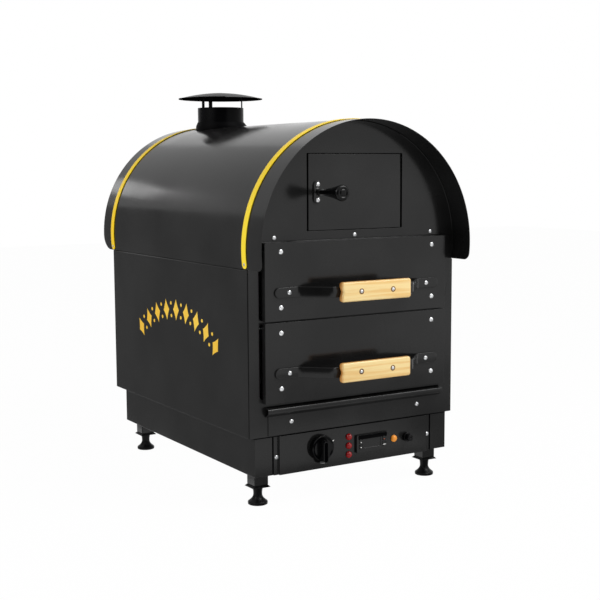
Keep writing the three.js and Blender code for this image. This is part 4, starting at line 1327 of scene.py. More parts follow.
@dataclass
class Chimney:
    """The flue's tube, its collar, and the rain cap on three struts.

    Attributes:
        axis_y: The flue's axis.
        radius: The tube's outer radius.
        wall: Its thickness.
        foot: The tube's lower end.
        mouth: Its upper end.
        roof_radius: The barrel's radius with the gap under the collar.
        roof_axis: The height of the barrel's axis.
        collar_reach: The collar's outer radius.
        collar_shift: How far its skirt stands off the tube's axis.
        collar_top: The collar's upper edge.
        collar_shoulder: Where the cone turns down.
        collar_wall: The collar's thickness.
        collar_gap: The gap between its cone and the tube.
        collar_inset: How far in and down the cone's inside lies, as shares of the thickness.
        cap_radius: The cap's radius.
        cap_lip: The width of its level lip.
        cap_rim: The height of its underside at the rim.
        cap_rise: How far the dome rises.
        cap_wall: The cap's thickness.
        lap: The step of the lap seam at the brim.
        lap_turn: The seam's direction in degrees.
        strut_turns: The struts' directions in degrees.
        strut_width: Their width.
        strut_wall: Their thickness.
        strut_ease: The radius of their edges.
        strut_face: The struts' outer face.
        strut_foot: Their lower end.
        strut_gap: How far they end below the cap.
    """

    axis_y: float = 545.0
    radius: float = 52.0
    wall: float = 1.5
    foot: float = 690.0
    mouth: float = 768.08
    roof_radius: float = 238.883
    roof_axis: float = BARREL_AXIS
    collar_reach: float = 58.5
    collar_shift: Pair = (3.2, 2.0)
    collar_top: float = 735.58
    collar_shoulder: float = 726.58
    collar_wall: float = 1.8
    collar_gap: float = 1.0
    collar_inset: Pair = (0.6, 0.8)
    cap_radius: float = 95.0
    cap_lip: float = 3.0
    cap_rim: float = 788.08
    cap_rise: float = 12.0
    cap_wall: float = 1.5
    lap: float = 1.1
    lap_turn: float = -111.6
    strut_turns: tuple[float, float, float] = (-145.3, -20.0, 117.0)
    strut_width: float = 9.0
    strut_wall: float = 2.0
    strut_ease: float = 0.6
    strut_face: float = 49.6
    strut_foot: float = 744.1
    strut_gap: float = 0.2

    def collar(self) -> Surface:
        """Works out the collar: a cone whose skirt is cut to the barrel.

        Each point of the profile goes round the tube, and the skirt stands a little off the tube's axis. Its
        foot follows the barrel at z = axis + sqrt(R^2 - x^2).

        Returns:
            The closed wall.
        """
        top, reach, wall = self.collar_top, self.collar_reach, self.collar_wall
        bore = self.radius + self.collar_gap
        cone = np.linspace(0, 1, 5)[:, None] * [reach - bore, self.collar_shoulder - top]
        outer = np.array([bore, top]) + cone
        inner = outer[::-1] - wall * np.array(self.collar_inset)
        profile = np.concatenate([outer, [[reach, 0.0], [reach - wall, 0.0]], inner])
        turn = np.linspace(0, 2 * np.pi, 96, endpoint=False)
        lean = np.clip((profile[:, :1] - bore) / (reach - bore), 0, 1)
        x = np.outer(profile[:, 0], np.cos(turn)) + lean * self.collar_shift[0]
        y = np.outer(profile[:, 0], np.sin(turn)) + lean * self.collar_shift[1]
        saddle = self.roof_axis + np.sqrt(self.roof_radius**2 - x**2)
        z = np.where(profile[:, 1:] > 0, np.maximum(profile[:, 1:], saddle), saddle)
        return wound(np.stack([x, y, z], -1), closed=True)

    def under(self, share: Array) -> Array:
        """The height of the cap's underside at a share of the brim: rim + rise (1 - s^2)."""
        return self.cap_rim + self.cap_rise * (1 - share**2)

    def cap(self, upper: bool) -> Surface:
        """Works out half the cap's wall, a shallow dome of sheet with a lap seam.

        The dome's height falls with the radius as in `under`. The sheet climbs by the lap once round, so
        that its end lies over its start.

        Args:
            upper: Whether it is the upper or the lower half, whose darker matt black is painted shade.

        Returns:
            The closed wall.
        """
        brim = self.cap_radius - self.cap_lip
        share = np.linspace(0, 1, 16)
        across = np.append(share * brim, self.cap_radius)
        low = np.stack([across, np.append(self.under(share), self.cap_rim)], 1)
        foot, top = (0.5, 1.0) if upper else (0.0, 0.5)
        profile = np.concatenate([low + [0.0, foot * self.cap_wall], low[::-1] + [0.0, top * self.cap_wall]])
        round_trip = np.linspace(0, 1, 121)
        turn = math.radians(self.lap_turn) + 2 * np.pi * round_trip
        climb = np.outer(profile[:, 0] / self.cap_radius, self.lap * (round_trip - 1.0))
        x, y = np.outer(profile[:, 0], np.cos(turn)), np.outer(profile[:, 0], np.sin(turn))
        return wound(np.stack([x, y, profile[:, 1:] + climb], -1))

    def struts(self) -> Surface:
        """Works out three flat bars that stand inside the tube and carry the cap.

        Returns:
            The closed bars.
        """
        top = float(self.under(np.array(self.strut_face / (self.cap_radius - self.cap_lip)))) - self.strut_gap
        outline = rounded_rectangle(self.strut_wall, self.strut_width, self.strut_ease, 3)
        bar = stacked(outline, [(0.0, self.strut_foot), (0.0, top)])
        standing_bar = bar.points + [self.strut_face - self.strut_wall / 2, 0, 0]
        turns = np.radians(self.strut_turns)
        return together([Surface(standing_bar @ spin(turn), bar.faces) for turn in turns])

    def build(self) -> None:
        """Builds the tube, the collar, the cap and its struts."""
        wall = [
            (self.radius - self.wall, self.foot),
            (self.radius, self.foot),
            (self.radius, self.mouth),
            (self.radius - self.wall, self.mouth),
        ]
        axis = (0.0, self.axis_y, 0.0)
        tube = revolved(wall, 96, closed=True).placed(axis, Facing.UP)
        piece("chimney_tube", tube, STOVE, nodes=["flue_tube"], edge=0.5)
        piece("chimney_collar", self.collar().placed(axis, Facing.UP), SEALANT, edge=0.3)
        dome, inside = self.cap(True).placed(axis, Facing.UP), self.cap(False).placed(axis, Facing.UP)
        piece("rain_cap_dome", dome, CAP, nodes=["rain_cap"], sharp=28.0)
        # painted shade: the underside is darker and more matt than the top
        piece("rain_cap_underside", inside, MATT_BLACK_SHADE, sharp=28.0)
        piece("rain_cap_struts", self.struts().placed(axis, Facing.UP), SEALANT)


@dataclass
class Drawer:
    """One baking drawer: its front, box, bent strap, wooden grip, rivets and screws.

    Attributes:
        row: "lower" or "upper".
        middle: The handle's height.
        rivet_zs: The heights of the rivets.
        rivet_x: x of the rivets, either way.
        face: The front's face.
        strap_end: Half the strap's length.
        strap_bend: Where the strap leaves the front.
        strap_flat: Where it runs level again.
        strap_reach: How far it stands out.
        strap_height: The strap's height.
        strap_wall: Its thickness.
        strap_setback: How far from a corner its bends start.
        strap_ease: The radius of its long edges.
        strap_screw_x: x of its two screws, either way.
        grip_length: The grip's length.
        grip_height: The grip's height.
        grip_depth: The grip's thickness.
        grip_round: The radius of its corners.
        grip_ease: The radius of its long edges.
        grip_notch: How deep its left end is drawn in.
        grip_notch_height: The height of that hollow.
        grip_screw_x: x of the grip's two screws, either way.
        rim: Radius and height of the points of the brown ring painted as shade round a screw.
    """

    row: str
    middle: float
    rivet_zs: Pair
    rivet_x: float = 174.0
    face: float = -12.0
    strap_end: float = 188.0
    strap_bend: float = 137.0
    strap_flat: float = 92.0
    strap_reach: float = 45.0
    strap_height: float = 20.0
    strap_wall: float = 3.0
    strap_setback: float = 5.0
    strap_ease: float = 0.8
    strap_screw_x: float = 158.0
    grip_length: float = 158.0
    grip_height: float = 37.0
    grip_depth: float = 12.0
    grip_round: float = 5.0
    grip_ease: float = 3.8
    grip_notch: float = 3.0
    grip_notch_height: float = 22.0
    grip_screw_x: float = 36.0
    rim: tuple[Pair, ...] = ((0.0, 0.0), (5.4, 0.0), (5.4, 0.1), (5.0, 0.25), (0.0, 0.25))

    def strap(self) -> Surface:
        """Works out the strap: a flat bar carried along its bent route, level in z.

        Returns:
            The closed bar with half-round ends.
        """
        near = self.face - SEAT - self.strap_wall / 2
        far = near - self.strap_reach
        half = np.array([[-self.strap_end, near], [-self.strap_bend, near], [-self.strap_flat, far]])
        corners = np.concatenate([half, half[::-1] * [-1, 1]])
        flat = spaced(bent(corners, self.strap_setback), 240)
        path = np.column_stack([flat, np.full(len(flat), self.middle)])
        across = np.broadcast_to([0.0, 0.0, 1.0], path.shape)
        out = np.cross(np.gradient(path, axis=0), across)
        out /= np.linalg.norm(out, axis=1)[:, None]
        return strip(path, across, out, self.strap_height, self.strap_wall, self.strap_ease)

    def grip(self) -> Surface:
        """Works out the grip: a board whose left end is drawn in over the strap.

        Its outline is a rounded rectangle, and at the left x is drawn in by n cos^2(pi z / h) for |z| under
        half the hollow's height h. The board's front and rear edges are quarter circles.

        Returns:
            The closed board, with its back at z = 0 of its own.
        """
        steps, half = 8, self.grip_length / 2
        corners = rounded_rectangle(self.grip_length, self.grip_height, self.grip_round, steps)
        level = self.grip_height / 2 - self.grip_round
        z = np.linspace(-level, level, 25)[1:-1]
        ends = np.full_like(z, half)
        right, left = np.column_stack([ends, z]), np.column_stack([-ends, z[::-1]])
        outline = np.concatenate([corners[: 2 * steps], left, corners[2 * steps :], right])
        low = np.abs(outline[:, 1]) < self.grip_notch_height / 2
        at_end = np.isclose(outline[:, 0], -half)
        dip = self.grip_notch * np.cos(np.pi * outline[:, 1] / self.grip_notch_height) ** 2
        outline[:, 0] += np.where(low & at_end, dip, 0)
        turn = np.linspace(0, np.pi / 2, 6)
        ease = self.grip_ease
        back = np.stack([ease * (1 - np.sin(turn)), ease * (1 - np.cos(turn))], 1)
        front = np.stack([ease * (1 - np.cos(turn)), self.grip_depth - ease + ease * np.sin(turn)], 1)
        return stacked(outline, [*map(tuple, np.concatenate([back, front]).tolist())])

    def build(self) -> None:
        """Builds the drawer's pieces."""
        body = f"drawer_{self.row}"
        eased_copy(f"{body}_front", POWDER, edge=0.25)
        eased_copy(f"{body}_box", STEEL, edge=0.4)
        piece(f"{body}_strap_bar", self.strap(), POWDER, body, [f"{body}_strap"])
        strap_face = self.face - SEAT - self.strap_wall
        back = strap_face - self.strap_reach - SEAT
        grip = self.grip().placed((0.0, back, self.middle))
        piece(f"{body}_grip_board", grip, PINE, body, [f"{body}_grip"], sharp=45.0)
        sides = (-1, 1)
        rivets = [(side * self.rivet_x, self.face, z) for side in sides for z in self.rivet_zs]
        BLIND_RIVET.fitted(f"{body}_rivets", rivets, body)
        screws = [(side * self.strap_screw_x, strap_face, self.middle) for side in sides]
        SHEET_SCREW.fitted(f"{body}_strap_screws", screws, body)
        heads = [(side * self.grip_screw_x, back - self.grip_depth, self.middle) for side in sides]
        WOOD_SCREW.fitted(f"{body}_grip_screws", heads, body)
        # painted shade: a brown ring round each grip screw
        rim = revolved(self.rim, 32)
        piece(f"{body}_screw_rims", rim.repeated(np.array(heads)), SCREW_SHADE, body)


@dataclass
class ChamberDoor:
    """The small door, its bracket and its tapered handle.

    Attributes:
        x: The handle's axis.
        z: The handle's height.
        face: The door's face.
        flange_width: The bracket's width.
        flange_height: The bracket's height.
        flange_wall: The bracket's thickness.
        neck_radius: The neck's radius.
        neck_length: The neck's length.
        fillet: The height and reach of its flare.
        handle_start: Where the handle begins.
        handle_length: The handle's length.
        handle_radius: The radius of its thick end.
        groove: The depth, the width and the distance from the end of the handle's groove.
        ring: The depth, the width and the place of the ring sunk in its end, the last two as shares.
        screw_rise: Height of the bracket's screws over and under its middle.
    """

    x: float = -88.0
    z: float = 588.04
    face: float = -1.0
    flange_width: float = 18.0
    flange_height: float = 42.0
    flange_wall: float = 2.5
    neck_radius: float = 5.5
    neck_length: float = 13.0
    fillet: float = 3.0
    handle_start: float = 15.85
    handle_length: float = 74.0
    handle_radius: float = 15.0
    groove: Point = (0.7, 1.1, 5.5)
    ring: Point = (1.1, 0.13, 0.72)
    screw_rise: float = 14.5

    def bracket(self) -> Surface:
        """Works out the bracket: an oblong flange and a neck that flares into it.

        The flare's radius is r + f (1 - t)^2 over the fillet's height f, with t from 0 to 1.

        Returns:
            The two closed surfaces.
        """
        flat_end, sunk, ease = 0.6, 0.2, 0.4
        ends = (self.flange_width - flat_end) / 2
        outline = rounded_rectangle(self.flange_width, self.flange_height, ends, 12)
        flange = stacked(outline, eased(self.flange_wall, 0.6))
        t = np.linspace(0, 1, 9)
        radius = self.neck_radius + self.fillet * (1 - t) ** 2
        flare = np.stack([radius, self.flange_wall - sunk + self.fillet * t], 1).tolist()
        top = self.flange_wall / 2 + self.neck_length
        profile = [(0.0, ease), (radius[0], ease), *map(tuple, flare), (self.neck_radius, top - ease),
                   (self.neck_radius - ease, top), (0.0, top)]
        return together([flange, revolved(profile, 40)])

    def handle(self) -> Surface:
        """Works out the handle, which widens along its length as r0 + (R - r0) s^1.5.

        A groove runs round it near its end, and the end is flat with a sunk ring. Both are bells of the
        form d exp(-((p - m) / w)^2).

        Returns:
            The closed surface.
        """
        foot_height, foot_inset = 0.6, 0.5
        ease = self.handle_radius * 0.35
        barrel = self.handle_length - ease
        share = np.linspace(0, 1, 28)
        radius = self.neck_radius + (self.handle_radius - self.neck_radius) * share**1.5
        height = foot_height + (barrel - foot_height) * share
        depth, width, setback = self.groove
        side = np.stack([radius - depth * np.exp(-(((height - barrel + setback) / width) ** 2)), height], 1)
        turn = np.linspace(0, np.pi / 2, 9)[1:]
        flat = self.handle_radius - ease
        rim = np.stack([flat + ease * np.cos(turn), barrel + ease * np.sin(turn)], 1)
        inner = np.linspace(1, 0, 12)[1:]
        depth, width, middle = self.ring
        sunk = depth * np.exp(-(((inner - middle) / width) ** 2))
        face = np.stack([flat * inner, self.handle_length - sunk], 1)
        foot = [(0.0, 0.0), (self.neck_radius - foot_inset, 0.0)]
        return revolved([*foot, *map(tuple, np.concatenate([side, rim, face]).tolist())], 56)

    def build(self) -> None:
        """Builds the door's pieces."""
        body = "upper_door"
        eased_copy("door_panel", POWDER)
        back = self.face - SEAT
        bracket = self.bracket().placed((self.x, back, self.z))
        piece("door_bracket_flange", bracket, POWDER, body, ["door_handle_bracket"])
        handle = self.handle().placed((self.x, -self.handle_start, self.z))
        piece("door_handle_turned", handle, PLASTIC, body, ["door_handle"])
        screws = [(self.x, back - self.flange_wall, self.z + side * self.screw_rise) for side in (-1, 1)]
        SHEET_SCREW.fitted("door_bracket_screws", screws, body)


@dataclass
class Plinth:
    """The plinth, its floor and gland, the legs, their plugs and the levelling feet.

    Attributes:
        leg_x: x of the legs, either way.
        leg_ys: y of the front and the rear legs.
        foot_top: Where a foot meets its plug.
        foot_radius: The foot's radius.
        stem_radius: The stem's radius.
        stem_top: The stem's upper end.
        shadow_seal_foot: The underside of the black seal round the plinth's top, which paints the shadow
            under the cabinet.
        shadow_seal_height: Its height.
        shadow_seal_width: The width of its section.
        shadow_seal_proud: How far it stands proud of the plinth.
        shadow_seal_round: The radius of its corners.
        disc: How far in from the foot's radius the points of its disc lie, and their heights.
        sweep: The waist's radius, the sweep's reach, its lower end and its height.
        neck: Radius of the neck's points and how far they lie below the foot's top.
    """

    leg_x: float = 198.5
    leg_ys: Pair = (38.5, 554.0)
    foot_top: float = 33.7
    foot_radius: float = 19.0
    stem_radius: float = 5.0
    stem_top: float = 77.7
    shadow_seal_foot: float = 133.9
    shadow_seal_height: float = 2.0
    shadow_seal_width: float = 3.0
    shadow_seal_proud: float = 0.6
    shadow_seal_round: float = 2.0
    disc: tuple[Pair, ...] = ((1.2, 0.0), (0.3, 0.5), (0.0, 1.6), (0.0, 4.6), (0.6, 5.8), (1.6, 6.4))
    sweep: tuple[float, float, float, float] = (8.5, 8.0, 7.2, 13.0)
    neck: tuple[Pair, ...] = ((8.6, 9.7), (9.2, 5.7), (9.8, 2.1), (9.8, 0.8), (9.2, 0.0))

    def shadow_seal(self) -> Surface:
        """Works out the black seal under the cabinet, painted shadow along its foot: a rounded frame of flat
        section.

        Returns:
            The closed frame in its place round the plinth's top.
        """
        low, high = millimetres(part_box("plinth_skirt"))
        width, depth = ((high - low)[:2] + 2 * self.shadow_seal_proud).tolist()
        outline = rounded_rectangle(width, depth, self.shadow_seal_round, 4)
        rings = drawn_in(outline, np.array([0, 0, 1, 1]) * self.shadow_seal_width)
        rise = np.array([0, 1, 1, 0])[:, None, None] * self.shadow_seal_height
        rings = np.concatenate([rings, np.broadcast_to(rise, (*rings.shape[:2], 1))], -1)
        middle = ((low + high) / 2).tolist()
        return wound(rings, closed=True).placed((middle[0], middle[1], self.shadow_seal_foot), Facing.UP)

    def foot(self) -> Surface:
        """Works out a levelling foot: a disc that sweeps up into a waisted neck.

        Between the disc's shoulder and the waist the radius falls as w + s (1 - t)^2.2.

        Returns:
            The closed surface.
        """
        t = np.linspace(0, 1, 12)
        waist, reach, low, height = self.sweep
        sweep = np.stack([waist + reach * (1 - t) ** 2.2, low + height * t], 1).tolist()
        disc = [(self.foot_radius - inset, z) for inset, z in self.disc]
        neck = [(radius, self.foot_top - drop) for radius, drop in self.neck]
        ease, radius, top = 0.6, self.stem_radius, self.stem_top
        stem = [(radius, self.foot_top), (radius, top - ease), (radius - ease, top), (0.0, top)]
        return revolved([(0.0, 0.0), *disc, *map(tuple, sweep), *neck, *stem])

    def build(self) -> None:
        """Builds the plinth's pieces."""
        eased_copy("plinth_skirt", POWDER, edge=0.7)
        # painted shadow: a black seal along the cabinet's foot
        piece("plinth_shadow_seal", self.shadow_seal(), MATT_BLACK_SHADE)
        eased_copy("plinth_floor", STEEL, edge=0.4)
        eased_copy("cable_gland", RUBBER)
        for end, y in zip(("front", "rear"), self.leg_ys):
            for side, sign in (("left", -1), ("right", 1)):
                place = f"{end}_{side}"
                eased_copy(f"leg_{place}", POWDER, edge=1.6)
                eased_copy(f"leg_collar_{place}", RUBBER, edge=0.7)
                foot = self.foot().placed((sign * self.leg_x, y, 0.0), Facing.UP)
                piece(f"foot_{place}_turned", foot, RUBBER, f"adjustable_foot_{place}", [f"foot_{place}"])


@dataclass
class ControlPanel:
    """The panel in the plinth with its knob, lamps, controller and fuse.

    Attributes:
        face: The panel's face.
        knob_x: The knob's axis.
        knob_z: The knob's height.
        knob_gap: The gap between knob and panel.
        knob_radius: The radius of its skirt.
        skirt: How far in from it the skirt's points lie, and their heights.
        ribs: How many ribs the skirt has.
        rib_depth: Their depth as a share of the radius, halved.
        rib_ends: The heights between which they run.
        spindle: The spindle's radius and its two ends.
        bar_width: The width of its grip bar.
        bar_up: The bar's reach above the axis.
        bar_down: Its reach below the axis.
        bar_depth: How far the bar stands out.
        bar_sides: Inset and height of the points of its lower sides.
        bar_taper: How far it is drawn in at its crown.
        bar_ease: How wide and how high its eased edge is.
        inlay: The size of the dark inlay on the bar.
        lamp_x: The red lamps' axis.
        lamp_zs: Their heights.
        lamp_size: The radius and height of their lenses.
        amber_x: The amber lamp's axis.
        amber_size: The radius and height of its lens.
        lamp_stem: The radius and length of a lamp behind the panel.
        row_z: The height of the controller, the amber lamp and the fuse.
        controller_x: The controller's middle.
        window: The size of its dark display band, which is also painted shade along the case's top.
        window_place: How far over the controller's middle and before the panel it lies.
        key_x: x of the keys, either way of the controller's middle.
        key_zs: The heights of both rows of keys over its middle.
        key_face: How far the keys stand before the panel.
        mark_wall: The thickness of the marks on the keys.
        ticks: x, z and turn in degrees of the ticks at the knob.
        tick_wall: Their thickness.
        flange_screw_x: x of the panel's two screws, either way.
        flange_screw_z: Their height.
        flange_y: The face of the panel's flanges.
        strip_x: x of the black strips behind the gaps beside the flanges, painted shade in those gaps, either
            way.
        strip_size: Their width and thickness.
        strip_back: How far behind the flanges' face they lie.
        top_shade_sheet: Width, depth and thickness of the black sheet behind the panel's top edge, painted
            shade in the gap there.
        top_place: How far behind the face its middle lies, and its height.
    """

    face: float = -1.0
    knob_x: float = -82.0
    knob_z: float = 102.0
    knob_gap: float = 0.8
    knob_radius: float = 25.0
    skirt: tuple[Pair, ...] = (
        (0.9, 0.0), (0.1, 0.8), (0.1, 7.8), (0.7, 9.4), (1.8, 10.4), (2.8, 10.2), (4.4, 9.2), (7.0, 8.8)
    )
    ribs: int = 36
    rib_depth: float = 0.015
    rib_ends: Pair = (0.4, 8.4)
    spindle: Point = (3.0, -11.0, 0.4)
    bar_width: float = 21.0
    bar_up: float = 20.0
    bar_down: float = 32.0
    bar_depth: float = 20.0
    bar_sides: tuple[Pair, ...] = ((0.0, 6.0), (0.2, 9.0))
    bar_taper: float = 5.2
    bar_ease: Pair = (1.0, 1.2)
    inlay: Pair = (7.2, 38.0)
    lamp_x: float = -17.0
    lamp_zs: tuple[float, float, float] = (79.0, 96.5, 114.0)
    lamp_size: Pair = (6.5, 6.5)
    amber_x: float = 91.0
    amber_size: Pair = (7.0, 6.0)
    lamp_stem: Pair = (5.0, 22.0)
    row_z: float = 97.0
    controller_x: float = 36.5
    window: Pair = (68.0, 8.2)
    window_place: Pair = (13.3, 5.3)
    key_x: float = 28.0
    key_zs: Pair = (3.6, -7.0)
    key_face: float = 5.9
    mark_wall: float = 0.12
    ticks: tuple[Point, ...] = ((-78.0, 123.0, 30.0), (-53.0, 111.0, 15.0))
    tick_wall: float = 0.15
    flange_screw_x: float = 177.2
    flange_screw_z: float = 94.6
    flange_y: float = 3.6
    strip_x: float = 185.0
    strip_size: Pair = (8.0, 0.8)
    strip_back: float = 2.4
    top_shade_sheet: Point = (342.0, 13.0, 0.8)
    top_place: Pair = (6.6, 133.7)

    def knob(self) -> Surface:
        """Works out the knob: a ribbed skirt with a sunk top, a tapered grip bar and the spindle.

        The skirt is drawn in by d (1 + cos n a) of its radius. The bar is a capsule whose inset grows evenly
        with its height up to a quarter-round crown.

        Returns:
            The closed surfaces about the knob's own axis.
        """
        rings = [(self.knob_radius - inset, height) for inset, height in self.skirt]
        skirt = revolved([(0.0, 0.0), *rings, (0.0, self.skirt[-1][1])], 144)
        x, y, z = skirt.points.T
        ribbed = (z > self.rib_ends[0]) & (z < self.rib_ends[1])
        drawn = self.rib_depth * (1 + np.cos(self.ribs * np.arctan2(y, x))) * ribbed
        skirt = Surface(skirt.points * np.stack([1 - drawn, 1 - drawn, np.ones_like(drawn)], 1), skirt.faces)
        blunt = 0.05
        ends = self.bar_width / 2 - blunt
        outline = rounded_rectangle(self.bar_width, self.bar_up + self.bar_down, ends, 12)
        outline[:, 1] -= (self.bar_down - self.bar_up) / 2
        turn = np.linspace(0, np.pi / 2, 5)
        wide, high = self.bar_ease
        rise = self.bar_depth - high + high * np.sin(turn)
        crown = np.stack([self.bar_taper + wide * (1 - np.cos(turn)), rise], 1)
        bar = stacked(outline, [*self.bar_sides, *map(tuple, crown.tolist())])
        radius, rear, front = self.spindle
        pin = revolved([(0.0, rear), (radius, rear), (radius, front), (0.0, front)], 24)
        return together([skirt, bar, pin])

    def lamp(self, radius: float, rise: float) -> Surface:
        """Works out a lamp: a lens h cos a over R sin a on its stem.

        Args:
            radius: The lens's radius.
            rise: The lens's height.

        Returns:
            The closed surface.
        """
        stem, depth = self.lamp_stem
        turn = np.linspace(np.pi / 2, 0, 12)
        lens = np.stack([radius * np.sin(turn), SEAT + (rise - SEAT) * np.cos(turn)], 1).tolist()
        return revolved([(0.0, -depth), (stem, -depth), (stem, 0.0), (radius, 0.0), *map(tuple, lens)], 36)

    def marks(self) -> Surface:
        """Works out the two generic white ticks at the knob.

        Returns:
            The thin closed plates in their places.
        """
        tick = rounded_rectangle(4.2, 2.0, 0.6, 3)
        return together([
            stacked(tick @ spin(math.radians(turn))[:2, :2], square(self.tick_wall))
            .placed((x, self.face, z))
            for x, z, turn in self.ticks
        ])

    def key_marks(self, key: str) -> Surface:
        """Works out the generic mark on one key.

        Args:
            key: "up", "down", "menu" or "set".

        Returns:
            The thin closed plate in its place.
        """
        arrow = np.array([[-1.6, -1.1], [1.6, -1.1], [0.0, 1.4]])
        marks = {
            "up": arrow,
            "down": -arrow,
            "menu": rounded_rectangle(3.0, 1.6, 0.7, 3),
            "set": rounded_rectangle(6.4, 1.4, 0.6, 3),
        }
        x = self.controller_x + (-self.key_x if key in ("up", "down") else self.key_x)
        z = self.row_z + self.key_zs[0 if key in ("up", "menu") else 1]
        plate = stacked(marks[key], square(self.mark_wall))
        return plate.placed((x, self.face - self.key_face, z))

    def gap_shade(self) -> None:
        """Builds the black strips and the black sheet that darken the gaps round the panel as painted shade.
        """
        low, high = millimetres(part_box("control_panel"))
        width, wall = self.strip_size
        side_strip = stacked(rounded_rectangle(width, float((high - low)[2]) - 1.0, 0.5, 3), square(wall))
        y, z = self.flange_y + self.strip_back, float((low + high)[2] / 2)
        places = np.array([[side * self.strip_x, y, z] for side in (-1, 1)])
        piece("panel_gap_shade_strips", side_strip.repeated(places), MATT_BLACK_SHADE)
        width, depth, wall = self.top_shade_sheet
        back, z = self.top_place
        sheet = stacked(rounded_rectangle(width, depth, 1.0, 3), square(wall))
        piece("panel_top_shade_sheet", sheet.placed((0.0, self.face + back, z), Facing.UP), MATT_BLACK_SHADE)

    def turning_knob(self) -> None:
        """Builds the knob and the inlay on its bar."""
        front = self.face - self.knob_gap
        knob = self.knob().placed((self.knob_x, front, self.knob_z))
        piece("control_knob_turned", knob, PLASTIC, "knob", ["control_knob"], edge=0.25)
        inlay = stacked(rounded_rectangle(*self.inlay, 3.5), eased(0.3, 0.15))
        middle = (self.knob_x, front - self.bar_depth, self.knob_z - (self.bar_down - self.bar_up) / 2)
        piece("knob_inlay", inlay.placed(middle), MATT_BLACK_SHADE, "knob")

    def lamps(self) -> None:
        """Builds the three red lamps and the amber one, each with a lens that glows about its own middle; on
        the unlit red ones the glow is a painted highlight.
        """
        y = self.face - SEAT
        for number, z in enumerate(self.lamp_zs, 1):
            centre = (self.lamp_x, y, z)
            lens = replace(RED_LENS, name=f"red_lens_{number}", centre=centre)
            lamp = self.lamp(*self.lamp_size).placed(centre)
            piece(f"red_lamp_{number}", lamp, lens, nodes=[f"pilot_lamp_red_{number}"])
        lens = replace(AMBER_LENS, centre=(self.amber_x, y - self.amber_size[1], self.row_z))
        lamp = self.lamp(*self.amber_size).placed((self.amber_x, y, self.row_z))
        piece("amber_lamp", lamp, lens, nodes=["pilot_lamp_amber"])

    def controller(self) -> None:
        """Builds the temperature controller with its keys and marks, and a dark display band that is also
        painted shade along its top.
        """
        eased_copy("temperature_controller", CASE)
        rise, proud = self.window_place
        pane = stacked(rounded_rectangle(*self.window, 1.2, 4), eased(0.4, 0.2))
        middle = (self.controller_x, self.face - proud, self.row_z + rise)
        piece("controller_display_shade_band", pane.placed(middle), DISPLAY_SHADE)
        for key in ("up", "down", "menu", "set"):
            eased_copy(f"controller_key_{key}", CASE, edge=0.35)
            finish = AMBER_MARK if key == "menu" else MARKS
            piece(f"key_mark_{key}", self.key_marks(key), finish, f"key_{key}")

    def build(self) -> None:
        """Builds the panel and everything on it."""
        eased_copy("control_panel", POWDER)
        self.gap_shade()
        repaint("thermostat", STEEL)
        self.turning_knob()
        piece("panel_marks", self.marks(), MARKS)
        self.lamps()
        self.controller()
        for node in ("fuse_holder", "fuse_cap"):
            eased_copy(node, PLASTIC, edge=0.4)
        screws = [(side * self.flange_screw_x, self.flange_y, self.flange_screw_z) for side in (-1, 1)]
        SHEET_SCREW.fitted("panel_screws", screws)


@dataclass
class Interior:
    """What shows inside with a drawer or the door open.

    Attributes:
        element_zs: The heating elements' heights.
        spread: The distance between two runs.
        front: Where the front bends begin.
        rear: Where the rear bend begins.
        end: Where both ends of an element lie.
        radius: The sheath's radius.
    """

    element_zs: tuple[tuple[str, float], ...] = (("lower", 191.0), ("middle", 351.95), ("upper", 494.5))
    spread: float = 80.0
    front: float = 101.8
    rear: float = 499.8
    end: float = 597.8
    radius: float = 4.0

    def element(self, z: float) -> Surface:
        """Works out a heating element: four straight runs joined by half circles.

        Args:
            z: Its height.

        Returns:
            The closed rod.
        """
        turn = np.linspace(np.pi, 0, 21)
        swing = self.spread / 2 * np.stack([np.cos(turn), -np.sin(turn)], 1)
        bends = [
            np.array([(run - 1) * self.spread, self.front if run != 1 else self.rear])
            + swing * [1, 1 if run != 1 else -1]
            for run in range(3)
        ]
        half = 1.5 * self.spread
        flat = np.concatenate([[[-half, self.end]], *bends, [[half, self.end]]])
        return rod(np.column_stack([flat, np.full(len(flat), z)]), self.radius)

    def build(self) -> None:
        """Builds the liners, the runners, the elements and the insulation."""
        for node in ("oven_liner", "chamber_liner", "runner_left", "runner_right"):
            eased_copy(node, STEEL, edge=0.3)
        for place, z in self.element_zs:
            piece(f"element_rod_{place}", self.element(z), ELEMENT, nodes=[f"heating_element_{place}"])
        repaint("insulation_jacket", WOOL)


